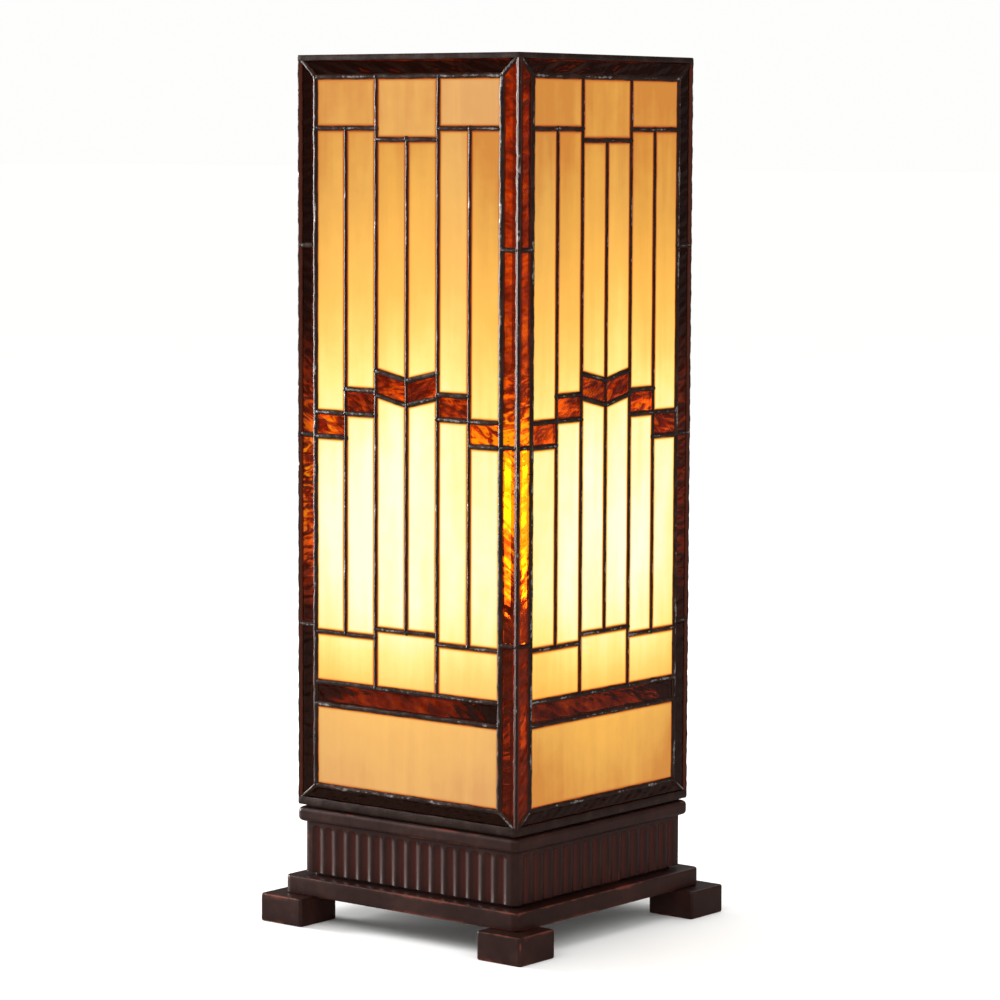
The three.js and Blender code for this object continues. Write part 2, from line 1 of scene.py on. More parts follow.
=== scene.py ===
# %% [markdown]
# # A stained glass table lamp
# The lamp is a tall square column of leaded glass that stands over a fluted base, with a lit bulb inside.
# This lesson finishes it piece by piece around its engineering model. That model, the frame, gives every
# piece its place and size, so nothing here is fitted by eye.
# The first cell loads the frame.

# %% The frame
import math

import bpy
import numpy as np
from mathutils import Matrix, Vector


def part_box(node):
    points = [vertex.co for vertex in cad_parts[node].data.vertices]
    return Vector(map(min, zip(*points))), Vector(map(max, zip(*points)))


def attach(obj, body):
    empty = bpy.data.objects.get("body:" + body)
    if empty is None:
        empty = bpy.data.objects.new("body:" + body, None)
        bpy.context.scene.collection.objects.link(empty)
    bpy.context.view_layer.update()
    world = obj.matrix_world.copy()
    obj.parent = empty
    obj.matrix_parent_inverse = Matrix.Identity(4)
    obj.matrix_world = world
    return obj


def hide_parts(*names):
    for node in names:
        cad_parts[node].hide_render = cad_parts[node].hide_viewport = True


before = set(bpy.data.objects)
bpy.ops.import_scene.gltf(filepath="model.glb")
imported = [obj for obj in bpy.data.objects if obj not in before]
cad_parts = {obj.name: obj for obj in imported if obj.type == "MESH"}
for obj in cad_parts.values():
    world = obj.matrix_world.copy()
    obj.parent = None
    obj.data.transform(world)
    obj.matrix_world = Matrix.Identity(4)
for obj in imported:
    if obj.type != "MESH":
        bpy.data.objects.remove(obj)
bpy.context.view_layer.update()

scene = bpy.context.scene

# %% [markdown]
# ## The camera
# A long lens from two metres away, a little below the top of the shade, keeps the uprights nearly
# parallel. The camera turns, nods and rolls by small angles, so its matrix is written out from three
# directions at right angles: to its right, up, and back.

# %% The camera
camera_turn = math.radians(38.69)
camera_distance = 1.8607
camera_height = 0.3990
camera_nod = math.radians(-5.617)
camera_yaw = math.radians(-0.08)
camera_roll = math.radians(0.245)
camera_lens = 131.65
camera_sensor = 36

heading = camera_turn + camera_yaw
forward = Vector((-math.sin(heading) * math.cos(camera_nod), math.cos(heading) * math.cos(camera_nod),
                  math.sin(camera_nod)))
level = forward.cross(Vector((0, 0, 1))).normalized()
upward = level.cross(forward)
right_way = level * math.cos(camera_roll) + upward * math.sin(camera_roll)
up_way = upward * math.cos(camera_roll) - level * math.sin(camera_roll)
place = Vector((math.sin(camera_turn) * camera_distance, -math.cos(camera_turn) * camera_distance,
                camera_height))
camera = bpy.data.objects.new("camera", bpy.data.cameras.new("camera"))
aimed = Matrix((right_way, up_way, -forward)).transposed().to_4x4()
camera.matrix_world = Matrix.Translation(place) @ aimed
camera.data.lens = camera_lens
camera.data.sensor_width = camera_sensor
camera.data.clip_start = 0.05
scene.collection.objects.link(camera)
scene.camera = camera
print("camera at", [round(v, 3) for v in place])

# %% [markdown]
# ## Sizes
# All sizes are in millimetres until a mesh is made. Levels and half widths are the frame's own, read from
# its boxes. The first ones are the shade's: its half width, and the two faces of its glass.

# %% Sizes
MM = 0.001
SIDES = ["front", "right", "rear", "left"]


def span(node):
    """A node's box in millimetres, as its low and high corner."""
    low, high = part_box(node)
    return np.array(low) / MM, np.array(high) / MM


rim_low, rim_high = span("shade_bottom_rim")
top_low, top_high = span("shade_top_rim")
glass_low, glass_high = span("front_lower_pane_glass")

shade_half = rim_high[0]
glass_out = -glass_low[1]
glass_in = -glass_high[1]
print("glass from", round(glass_in, 2), "to", round(glass_out, 2), "in a half width of",
      round(shade_half, 2))

# %% [markdown]
# ## Surfaces from arrays
# Every new piece is a grid of points worked out with numpy. A grid can close on itself in either
# direction: a ring that closes is a tube's section, and a stack of rings that closes is a square or round
# frame. A few helpers number the grid's faces, close its ends and join several skins into one mesh.

# %% Grids and skins
def net(rows, cols, close_rows=False, close_cols=False):
    """Faces of a grid numbered row by row; a closed direction joins its last line to its first."""
    row = np.arange(rows if close_rows else rows - 1)[:, None]
    col = np.arange(cols if close_cols else cols - 1)[None, :]
    next_row, next_col = (row + 1) % rows, (col + 1) % cols
    corners = [row * cols + col, row * cols + next_col, next_row * cols + next_col, next_row * cols + col]
    return np.stack(corners, -1).reshape(-1, 4)


def skin(rings, **marks):
    """A closed skin over a stack of rings, each end closed by a fan to its middle point."""
    rows, cols = rings.shape[:2]
    points = np.concatenate([rings.reshape(-1, 3), rings[:1].mean(1), rings[-1:].mean(1)])
    a = np.arange(cols)
    b = (a + 1) % cols
    last = (rows - 1) * cols
    low = np.stack([np.full(cols, rows * cols), b, a], 1)
    high = np.stack([np.full(cols, rows * cols + 1), last + a, last + b], 1)
    ends = {key: np.concatenate([v.ravel(), v[0].mean(keepdims=True), v[-1].mean(keepdims=True)])
            for key, v in marks.items()}
    return points, [net(rows, cols, close_cols=True), low, high], ends


def hoop(rings, **marks):
    """A closed skin over rings that come back to the first, as a frame's or a pipe's do."""
    rows, cols = rings.shape[:2]
    return rings.reshape(-1, 3), [net(rows, cols, True, True)], {k: v.ravel() for k, v in marks.items()}


def joined(skins):
    """Several skins as one, each numbered on from the last."""
    points, faces, marks, start = [], [], {}, 0
    for own_points, own_faces, own_marks in skins:
        points.append(own_points)
        faces += [f + start for f in own_faces]
        start += len(own_points)
        for key, value in own_marks.items():
            marks.setdefault(key, []).append(value)
    return np.concatenate(points), faces, {key: np.concatenate(v) for key, v in marks.items()}


def carried(points, side):
    """Points of the front side taken to another: each quarter turn sends (x, y) to (-y, x)."""
    x, y, z = points[..., 0], points[..., 1], points[..., 2]
    for _ in range(side):
        x, y = -y, x
    return np.stack([x, y, z], -1)


# %% [markdown]
# A skin becomes a piece in one call. It gets its mesh in metres, its finish and the body it moves with, and
# the nodes it stands for are hidden. Edges sharper than the given angle stay crisp, and the rest is smooth.

# %% Skins into pieces
made = {}


def make_piece(name, shape, finish, body, nodes, sharp=40):
    """One object from a skin: its points times a thousandth, its faces, and its marks as attributes."""
    points, faces, marks = shape
    mesh = bpy.data.meshes.new(name)
    sizes = np.concatenate([np.full(len(f), f.shape[1]) for f in faces])
    mesh.vertices.add(len(points))
    mesh.vertices.foreach_set("co", (points * MM).astype(np.float32).ravel())
    mesh.loops.add(int(sizes.sum()))
    mesh.loops.foreach_set("vertex_index", np.concatenate([f.ravel() for f in faces]).astype(np.int32))
    mesh.polygons.add(len(sizes))
    mesh.polygons.foreach_set("loop_start", np.concatenate([[0], np.cumsum(sizes)[:-1]]).astype(np.int32))
    mesh.update(calc_edges=True)
    mesh.validate()
    mesh.shade_smooth()
    mesh.set_sharp_from_angle(angle=math.radians(sharp))
    for key, values in marks.items():
        mesh.attributes.new(key, "FLOAT", "POINT").data.foreach_set("value", values.astype(np.float32))
    mesh.materials.append(finish)
    piece = bpy.data.objects.new(name, mesh)
    scene.collection.objects.link(piece)
    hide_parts(*nodes)
    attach(piece, body)
    made[name] = int(np.sum(sizes - 2))
    return piece


# %% [markdown]
# ## Node helpers
# A finish reads best as a short list of steps. This class adds a node, sets its inputs by name and links
# whatever is already a socket, so each material below is one step per line.

# %% Node helpers
class Steps:
    """Adds nodes to a material or a group, one call per step."""

    def __init__(self, tree):
        self.tree = tree
        self.count = 0

    def add(self, kind, inputs=(), **settings):
        """One node: settings are its own properties, inputs are set or linked by name or number."""
        step = self.tree.nodes.new("ShaderNode" + kind)
        step.location = (220 * (self.count % 8), -260 * (self.count // 8))
        self.count += 1
        for key, value in settings.items():
            setattr(step, key, value)
        self.fill(step, inputs)
        return step

    def fill(self, step, inputs):
        """Links an input to a socket, or sets it to a value."""
        for key, value in dict(inputs).items():
            if isinstance(value, bpy.types.NodeSocket):
                self.tree.links.new(value, step.inputs[key])
            else:
                step.inputs[key].default_value = value

    def math(self, operation, a, b=0.0, clamp=False):
        return self.add("Math", {0: a, 1: b}, operation=operation, use_clamp=clamp).outputs[0]

    def times(self, a, b):
        return self.math("MULTIPLY", a, b)

    def plus(self, a, b, clamp=False):
        return self.math("ADD", a, b, clamp)

    def minus(self, a, b):
        return self.math("SUBTRACT", a, b)

    def size_of(self, a):
        return self.math("ABSOLUTE", a)

    def bump(self, height, strength, distance):
        """A normal that makes the surface look as if it rose with the height, by up to the distance."""
        return self.add("Bump", {"Strength": strength, "Distance": distance, "Height": height}).outputs[0]

    def noise(self, where, scale, detail=3.0, roughness=0.5, warp=0.0):
        inputs = {"Vector": where, "Scale": scale, "Detail": detail, "Roughness": roughness,
                  "Distortion": warp}
        return self.add("TexNoise", inputs).outputs[0]

    def ranged(self, value, low, high, to_low=0.0, to_high=1.0, smooth=False):
        kind = "SMOOTHSTEP" if smooth else "LINEAR"
        inputs = {"Value": value, "From Min": low, "From Max": high, "To Min": to_low, "To Max": to_high}
        return self.add("MapRange", inputs, interpolation_type=kind).outputs[0]

    def blend(self, share, a, b, kind="MIX"):
        step = self.add("Mix", {0: share, 6: a, 7: b}, data_type="RGBA", blend_type=kind)
        return step.outputs[2]

    def ramp(self, value, stops):
        """A colour ramp from (place, colour) pairs."""
        step = self.add("ValToRGB", {0: value})
        band = step.color_ramp.elements
        while len(band) < len(stops):
            band.new(0.5)
        for element, (at, colour) in zip(band, sorted(stops, key=lambda stop: stop[0])):
            element.position = at
            element.color = colour
        return step.outputs[0]

    def mark(self, name):
        return self.add("Attribute", attribute_name=name).outputs["Fac"]

    def place(self):
        return self.add("TexCoord").outputs["Object"]

    def stretched(self, where, scale):
        return self.add("Mapping", {"Vector": where, "Scale": scale}).outputs[0]

    def group(self, tree, place, **inputs):
        """What a node group gives at a place, its other inputs set or linked by name."""
        step = self.tree.nodes.new("ShaderNodeGroup")
        step.node_tree = tree
        self.fill(step, {"Place": place, **inputs})
        return step.outputs[0]


def shade(red, green, blue):
    """A display colour, 0 to 255, as a linear one: a 12.92nd part in the darks, else a power of 2.4."""
    values = np.array([red, green, blue]) / 255
    linear = np.where(values <= 0.04045, values / 12.92, ((values + 0.055) / 1.055) ** 2.4)
    return (*linear.tolist(), 1.0)


def start_finish(name):
    """A new material, its steps and its Principled shader."""
    finish = bpy.data.materials.new(name)
    finish.use_nodes = True
    return finish, Steps(finish.node_tree), finish.node_tree.nodes["Principled BSDF"]


def join(steps, shader, **inputs):
    """Links or sets the shader's sockets: Base_Color means Base Color."""
    for key, value in inputs.items():
        socket = shader.inputs[key.replace("_", " ")]
        if isinstance(value, bpy.types.NodeSocket):
            steps.tree.links.new(value, socket)
        else:
            socket.default_value = value


def start_group(name, inputs, outputs):
    """A shader node group with named sockets: inputs as (name, kind, value), outputs as (name, kind)."""
    tree = bpy.data.node_groups.new(name, "ShaderNodeTree")
    for label, kind, value in inputs:
        socket = tree.interface.new_socket(label, in_out="INPUT", socket_type="NodeSocket" + kind)
        if value is not None:
            socket.default_value = value
    for label, kind in outputs:
        tree.interface.new_socket(label, in_out="OUTPUT", socket_type="NodeSocket" + kind)
    return tree, Steps(tree), tree.nodes.new("NodeGroupInput"), tree.nodes.new("NodeGroupOutput")


# %% [markdown]
# ## Shared effects: mottle
# Some effects come back in several finishes, so each is a node group. Mottle is uneven colour at two
# sizes: a broad noise with a finer one in it, brought back to the range from 0 to 1.

# %% Mottle
finer = 5.3
mottle, steps, given, out = start_group(
    "mottle", [("Place", "Vector", None), ("Scale", "Float", 40.0), ("Contrast", "Float", 0.6)],
    [("Mask", "Float")])
broad = steps.noise(given.outputs["Place"], given.outputs["Scale"], 2.0, 0.5)
fine_scale = steps.times(given.outputs["Scale"], finer)
fine = steps.noise(given.outputs["Place"], fine_scale, 3.0, 0.6)
both = steps.plus(steps.times(broad, 0.65), steps.times(fine, 0.35))
spread = steps.times(steps.minus(both, 0.5), given.outputs["Contrast"])
uneven = steps.plus(steps.times(spread, 4.0), 0.5, clamp=True)
mottle.links.new(uneven, out.inputs["Mask"])

# %% [markdown]
# ## Shared effects: wear
# Wear is where hands and cloths have rubbed. It could be painted by hand, but a mark that is 1 on an edge
# and falls away from it does the same for every piece. Noise at two sizes breaks the mark up.

# %% Wear
wear, steps, given, out = start_group(
    "edge wear", [("Place", "Vector", None), ("Edge", "Float", 0.0), ("Scale", "Float", 90.0),
                  ("Amount", "Float", 0.5)], [("Mask", "Float")])
grain = steps.noise(given.outputs["Place"], given.outputs["Scale"], 4.0, 0.65)
patches = steps.noise(given.outputs["Place"], steps.times(given.outputs["Scale"], 0.22), 1.0)
broken = steps.plus(steps.times(grain, 1.6), steps.times(patches, 1.8))
need = steps.minus(3.05, given.outputs["Amount"])
reach = steps.minus(steps.plus(given.outputs["Edge"], broken), need)
mask = steps.ranged(reach, 0.0, 0.5, smooth=True)
on_edge = steps.times(mask, steps.ranged(given.outputs["Edge"], 0.05, 0.5, smooth=True))
wear.links.new(on_edge, out.inputs["Mask"])

# %% [markdown]
# ## The bulb's glow on the glass
# Glow is how brightly the bulb lights the cream glass at a place. A curve over the height gives most of
# it, with its crest level with the bulb, and places far round the side from the bulb get less.

# %% Glow
glow_by_height = [(60, 0.06), (76, 0.10), (96, 0.20), (112, 0.30), (126, 0.55), (140, 0.74), (160, 0.92),
                  (188, 1.00), (225, 0.99), (250, 0.94), (275, 0.84), (300, 0.68), (330, 0.47), (358, 0.30),
                  (385, 0.16), (405, 0.10), (440, 0.05)]
curve_low, curve_high = glow_by_height[0][0], glow_by_height[-1][0]
bulb_aside = 0.006
glow, steps, given, out = start_group("lamp glow", [("Place", "Vector", None)], [("Heat", "Float")])
axes = steps.add("SeparateXYZ", {0: given.outputs["Place"]})
height = steps.ranged(axes.outputs["Z"], curve_low * MM, curve_high * MM)
up_curve = steps.add("FloatCurve", {"Value": height})
curve = up_curve.mapping.curves[0]
while len(curve.points) < len(glow_by_height):
    curve.points.new(0.5, 0.5)
for point, (z, value) in zip(curve.points, glow_by_height):
    point.location = ((z - curve_low) / (curve_high - curve_low), value)
up_curve.mapping.update()
off_x = steps.plus(axes.outputs["X"], bulb_aside)
off_y = steps.minus(axes.outputs["Y"], bulb_aside)
squares = steps.plus(steps.times(off_x, off_x), steps.times(off_y, off_y))
far = steps.math("SQRT", squares)
sideways = steps.ranged(far, 0.070, 0.098, 0.03, -0.13)
heat = steps.plus(up_curve.outputs[0], sideways, clamp=True)
glow.links.new(heat, out.inputs["Heat"])
print("groups:", [g.name for g in bpy.data.node_groups])

# %% [markdown]
# ## The base's finish
# The base is cast resin, painted a brown near black over a red ground. The red shows in the hollows and
# where edges are rubbed, and the sharpest edges are worn lighter still. The paint is satin, so its
# roughness is a little under a half, and a fine grain breaks up its highlights. The hollows stay dull.

# %% Dark bronze paint
bronze, steps, shader = start_finish("dark bronze paint")
spot = steps.place()
patch = steps.group(mottle, spot, Scale=45.0, Contrast=0.7)
rubbed = steps.group(wear, spot, Edge=steps.mark("edge"), Scale=150.0, Amount=0.90)
streak = steps.noise(steps.stretched(spot, (1, 1, 0.15)), 260.0, 3.0, 0.6)
brown = steps.ramp(patch, [(0.0, shade(34, 14, 10)), (0.55, shade(42, 19, 14)), (1.0, shade(54, 25, 18))])
depth = steps.mark("hollow")
ground = steps.blend(steps.ranged(depth, 0.2, 0.8), brown, shade(60, 17, 10))
colour = steps.blend(steps.times(rubbed, 0.6), ground, shade(120, 54, 38))
satin = steps.ranged(patch, 0.0, 1.0, 0.32, 0.44)
dull = steps.math("MAXIMUM", satin, steps.ranged(depth, 0.6, 0.95, 0.3, 0.9))
join(steps, shader, Base_Color=colour, Roughness=dull, Normal=steps.bump(streak, 0.25, 0.0003),
     Specular_IOR_Level=0.38, Specular_Tint=(1.0, 0.86, 0.80, 1))

# %% [markdown]
# ## The solder's finish
# The lines between the panes are copper foil under solder, blackened with patina. The patina is matt and
# nearly black, and the bright metal comes through in broken streaks along the tops of the beads. Low on a
# bead's flanks a warm brown is painted, standing for the amber light that falls there from the glass.

# %% Patinated solder
solder, steps, shader = start_finish("patinated solder")
spot = steps.place()
rubbed = steps.group(wear, spot, Edge=steps.mark("edge"), Scale=420.0, Amount=0.31)
patch = steps.group(mottle, spot, Scale=110.0, Contrast=0.8)
dark = steps.ramp(patch, [(0.0, shade(26, 13, 9)), (0.6, shade(36, 20, 14)), (1.0, shade(50, 32, 26))])
# Painted light: low on a bead's flanks the colour turns warm brown, where the glass's amber light would fall.
painted_flank_glow = steps.ranged(steps.mark("edge"), 0.0, 0.3, 0.8, 0.0)
warm = steps.blend(painted_flank_glow, dark, shade(76, 27, 10))
colour = steps.blend(rubbed, warm, shade(178, 174, 172))
pits = steps.noise(spot, 700.0, 3.0, 0.6)
join(steps, shader, Base_Color=colour, Roughness=steps.ranged(patch, 0.0, 1.0, 0.30, 0.46),
     Metallic=rubbed, Normal=steps.bump(pits, 0.5, 0.0003),
     Specular_IOR_Level=0.32, Specular_Tint=(1.0, 0.82, 0.74, 1))

# %% [markdown]
# ## The cream glass
# Opal glass scatters the bulb's light, so from outside each pane seems to glow by itself. That is painted
# as an emission: its colour climbs from a deep orange where the light is weak, through yellow, to almost
# white by the bulb. Each pane is cut from its own part of a sheet, so each has its own tone, and faint
# streaks run up it. Beside the solder less light comes through, so the colour deepens there and ends in a
# thin orange line. The surface itself is smooth and glossy.

# %% Opal glass
opal, steps, shader = start_finish("cream opal glass")
spot = steps.place()
heat = steps.group(glow, spot)
streak = steps.noise(steps.stretched(spot, (1, 1, 0.09)), 95.0, 3.0, 0.55, 0.6)
cloud = steps.group(mottle, spot, Scale=26.0, Contrast=0.8)
uneven = steps.plus(steps.times(steps.minus(streak, 0.5), 0.26),
                    steps.times(steps.minus(cloud, 0.5), 0.08))
tone_and_glow = steps.mark("tone_and_glow")
own = steps.times(steps.minus(tone_and_glow, 0.5), -0.08)
edge = steps.ranged(steps.mark("inset"), 0.5, 2.6, -0.16, 0.0, smooth=True)
warmth = steps.plus(steps.plus(heat, uneven), steps.plus(own, edge), clamp=True)
light = steps.ramp(warmth, [
    (0.0, shade(196, 126, 50)), (0.14, shade(218, 160, 72)), (0.30, shade(239, 179, 80)),
    (0.46, shade(253, 193, 88)), (0.62, shade(254, 214, 110)), (0.76, shade(254, 238, 140)),
    (0.88, shade(254, 249, 180)), (1.0, shade(254, 251, 226))])
away = steps.minus(1.0, heat)
milky = steps.times(steps.ranged(tone_and_glow, 0.45, 0.0, 0.0, 0.55), away)
honey = steps.times(steps.ranged(tone_and_glow, 0.45, 1.0, 0.0, 1.0), away)
paler = steps.blend(milky, light, shade(232, 190, 138))
deeper = steps.blend(honey, paler, (1.0, 0.86, 0.50, 1), kind="MULTIPLY")
halo = steps.ramp(steps.ranged(steps.mark("inset"), 0.8, 2.0), [
    (0.0, (0.30, 0.05, 0.01, 1)), (0.28, (0.80, 0.33, 0.07, 1)), (0.6, (1.0, 0.78, 0.42, 1)),
    (1.0, (1, 1, 1, 1))])
ringed = steps.blend(1.0, deeper, halo, kind="MULTIPLY")
ripple = steps.noise(steps.stretched(spot, (1, 1, 0.35)), 60.0, 2.0)
join(steps, shader, Base_Color=shade(92, 66, 34), Roughness=0.2, Normal=steps.bump(ripple, 0.15, 0.0005),
     Emission_Color=ringed, Emission_Strength=0.96, Specular_IOR_Level=0.3)

# %% [markdown]
# ## The amber glass
# This glass is clear but dark, and one face is rippled. It is made as real glass, so the bulb and the
# opal panes behind it show through, bent by the ripples. Its colour is uneven within each piece. On top of
# that, the bulb's light scattered by the ripples is painted on as an emission: a painted glow, strongest
# level with the bulb, gathers in the ripples' crests, and where it is strong it floods the piece and leaves
# only thin dark veins. Pieces with a high tone get more of it, and the lightest keep a faint painted glow
# all the way up. Beside the solder the painted glow fades.

# %% Amber ripple glass
bulb_level, painted_glow_reach = 0.228, 0.088
amber, steps, shader = start_finish("amber ripple glass")
spot = steps.place()
off = steps.size_of(steps.minus(steps.add("SeparateXYZ", {0: spot}).outputs["Z"], bulb_level))
# Painted light from the bulb: full level with it, fading to nothing a little under 90 mm above and below.
painted_bulb_glow = steps.ranged(off, 0.004, painted_glow_reach, 1.0, 0.0, smooth=True)
grain = steps.add("CombineXYZ", {0: steps.mark("across"), 1: steps.mark("along")}).outputs[0]
curl = steps.noise(grain, 1.0, 2.0, 0.5, 1.2)
cloud = steps.group(mottle, spot, Scale=60.0, Contrast=1.0)
mixed = steps.plus(steps.times(cloud, 0.35), steps.times(curl, 0.65))
tint = steps.ramp(mixed, [(0.30, (0.07, 0.004, 0.0002, 1)), (0.5, (0.28, 0.030, 0.0005, 1)),
                          (0.72, (0.58, 0.11, 0.001, 1))])
tone_and_glow = steps.mark("tone_and_glow")
# A low tone also darkens the glass's colour, which keeps the rails and the dim stiles dark.
thin = steps.ranged(tone_and_glow, 0.0, 0.5, 0.22, 1.0)
grey = steps.add("CombineColor", {0: thin, 1: thin, 2: thin}).outputs[0]
tint = steps.blend(1.0, tint, grey, kind="MULTIPLY")
crest = steps.ranged(curl, 0.42, 0.62, smooth=True)
from_vein = steps.size_of(steps.minus(curl, 0.47))
vein = steps.ranged(from_vein, 0.0, 0.035, 0.25, 1.0, smooth=True)
# The painted glow's strength: the bulb's painted light times a share set by the piece's tone.
strength = steps.times(painted_bulb_glow, steps.ranged(tone_and_glow, 0.0, 1.0, 0.25, 1.60))
flooded = steps.ranged(strength, 0.90, 1.30, smooth=True)
pattern = steps.add("Mix", {0: flooded, 2: crest, 3: vein}).outputs[0]
# own is the piece's painted glow: its strength, shaped by the ripples' crests and veins.
own = steps.times(strength, steps.plus(steps.times(pattern, 0.85), 0.15))
faint_painted_glow = steps.times(steps.ranged(tone_and_glow, 0.5, 0.9, 0.0, 0.26), steps.ranged(curl, 0.36, 0.6, 0.55, 1.0))
own = steps.math("MAXIMUM", own, faint_painted_glow)
# The painted glow fades beside the solder, where less light comes through.
edge = steps.ranged(steps.mark("inset"), 0.3, 1.5, 0.3, 1.0, smooth=True)
own = steps.times(own, edge)
painted_glow_colour = steps.ramp(own, [(0.0, (0.004, 0.0006, 0.0003, 1)), (0.3, (0.17, 0.014, 0.0008, 1)),
                         (0.65, (0.55, 0.075, 0.001, 1)), (1.0, (1.0, 0.36, 0.002, 1))])
join(steps, shader, Base_Color=tint, Roughness=0.1, Normal=steps.bump(curl, 0.35, 0.0006),
     Transmission_Weight=1.0, IOR=1.45, Specular_IOR_Level=0.25, Specular_Tint=(1.0, 0.52, 0.34, 1),
     Emission_Color=painted_glow_colour, Emission_Strength=0.85)

# %% [markdown]
# ## The bulb's glass
# The bulb is frosted and lit, so it is the one real light inside the shade. Seen directly it is held to a
# soft cream that darkens towards its outline, or its shape would be lost.

# %% Bulb glass
bulb_power = 26.0
bulb_light, steps, shader = start_finish("lit frosted bulb")
frost = steps.noise(steps.place(), 600.0, 2.0)
warm = steps.ramp(frost, [(0.3, (1.0, 0.70, 0.34, 1)), (0.7, (1.0, 0.76, 0.42, 1))])
join(steps, shader, Base_Color=shade(150, 120, 80), Roughness=steps.ranged(frost, 0.0, 1.0, 0.25, 0.4),
     Emission_Color=warm)
seen = steps.add("LightPath").outputs["Is Camera Ray"]
facing = steps.add("LayerWeight", {"Blend": 0.5}).outputs["Facing"]
shown = steps.ranged(facing, 0.0, 1.0, 0.75, 0.30)
join(steps, shader, Emission_Strength=steps.add("Mix", {0: seen, 2: bulb_power, 3: shown}).outputs[0])

# %% [markdown]
# ## The small fittings
# The fittings are plain shop parts: brass, plated steel, black moulded plastic, white porcelain and a
# hardboard cover. Metals differ only in colour and gloss, and so do the moulded parts, so two functions
# make all five. Twelve small or hidden parts of the frame keep their own shape and get a finish here.

# %% Fittings
def metal_finish(name, light_colour, dark_colour, roughness, streak_scale):
    """Machined metal: a colour between two tones, and fine turning marks round Z that blur its gloss."""
    finish, steps, shader = start_finish(name)
    spot = steps.place()
    lines = steps.noise(steps.stretched(spot, (0.15, 0.15, 1)), streak_scale, 3.0, 0.6)
    tarnish = steps.group(mottle, spot, Scale=140.0, Contrast=0.8)
    join(steps, shader, Base_Color=steps.blend(tarnish, light_colour, dark_colour), Metallic=1.0,
         Roughness=steps.ranged(tarnish, 0.0, 1.0, roughness, roughness + 0.2),
         Normal=steps.bump(lines, 0.15, 0.0001))
    return finish


def plain_finish(name, light_colour, dark_colour, roughness, scale, bump_strength):
    """A moulded, fired or pressed surface: mottled between two tones, with a grain of its own size."""
    finish, steps, shader = start_finish(name)
    spot = steps.place()
    patch = steps.group(mottle, spot, Scale=scale, Contrast=0.8)
    grain = steps.noise(spot, scale * 9, 4.0, 0.7)
    join(steps, shader, Base_Color=steps.blend(patch, light_colour, dark_colour),
         Roughness=steps.ranged(grain, 0.2, 0.8, roughness - 0.06, roughness + 0.06),
         Normal=steps.bump(grain, bump_strength, 0.0003))
    return finish


brass = metal_finish("turned brass", shade(196, 152, 82), shade(148, 104, 50), 0.26, 700.0)
steel = metal_finish("plated steel", shade(186, 186, 182), shade(138, 136, 132), 0.30, 700.0)
plastic = plain_finish("black moulded plastic", shade(30, 27, 25), shade(20, 18, 17), 0.38, 90.0, 0.08)
porcelain = plain_finish("glazed porcelain", shade(236, 232, 222), shade(220, 214, 200), 0.28, 50.0, 0.05)
board = plain_finish("hardboard", shade(64, 50, 42), shade(44, 35, 30), 0.88, 60.0, 0.5)

for node, finish in {
        "base_cover": board, "shade_seat": bronze, "threaded_tube": steel, "tube_washer": steel,
        "tube_nut_lower": steel, "tube_nut_upper": brass, "lampholder_insulator": porcelain,
        "centre_contact": brass, "cord_gland": plastic, "gland_nut": plastic, "bulb_insulator": porcelain,
        "bulb_tip_contact": steel}.items():
    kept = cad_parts[node].data.materials
    kept.clear()
    kept.append(finish)
print("finishes:", len(bpy.data.materials))

# %% [markdown]
# ## Square castings
# A foot, the plinth plate and the ledge are all rounded squares stacked up with eased edges. One outline
# gives the square: straight runs whose points crowd towards the corners, and an arc at each corner. The
# edge mark is worked out from the distance to the nearest edge, so the wear follows the real shape.

# %% The square outline
EASE = np.array([-1, -0.985, -0.955, -0.88, -0.7, -0.4, 0, 0.4, 0.7, 0.88, 0.955, 0.985, 1.0])


def square_ring(half, radius, along=EASE, arc=6):
    """A rounded square, anticlockwise: shares of a straight half side, then an arc of the radius."""
    straight = half - radius
    turn = np.linspace(-np.pi / 2, 0, arc + 1)[1:-1]
    x = np.concatenate([along * straight, straight + radius * np.cos(turn)])
    y = np.concatenate([np.full(len(along), -half), -straight + radius * np.sin(turn)])
    side = np.stack([x, y, np.zeros_like(x)], -1)
    return np.concatenate([carried(side, k) for k in range(4)])[:, :2]


def stacked(levels, along=EASE, arc=6):
    """Rings of a square from (half width, corner radius, height) levels."""
    rings = []
    for half, radius, z in levels:
        flat = square_ring(half, radius, along, arc)
        rings.append(np.column_stack([flat, np.full(len(flat), z)]))
    return np.stack(rings)


def eased(half, radius, z0, z1, edge, steps=4):
    """Levels of a slab, low to high: a quarter circle at each edge, and rings on both faces near it."""
    low = []
    for a in np.linspace(0, np.pi / 2, steps + 1):
        drawn_in = edge * (1 - math.sin(a))
        low.append((half - drawn_in, radius - drawn_in * 0.5, z0 + edge * (1 - math.cos(a))))
    high = [(h, r, z0 + z1 - z) for h, r, z in reversed(low)]
    side = [(half, radius, z0 + (z1 - z0) * share) for share in (0.3, 0.5, 0.7)]
    inner = [(half * share, max(radius * 0.3, 0.2), z0) for share in (0.35, 0.75, 0.93)]
    over = [(h, r, z1) for h, r, _ in reversed(inner)]
    return inner + low + side + high + over


def edge_mark(points, low, high, width=0.9):
    """1 on a box's edges: e to the minus of the distance to the second nearest face, over the width."""
    near = np.minimum(points - low, high - points)
    return np.exp(-np.clip(np.sort(near, axis=-1)[..., 1], 0, None) / width)


# %% [markdown]
# ### The feet
# Four blocks stand out past the plate at its corners. They are the most handled part of the base, so
# their edges are rubbed.

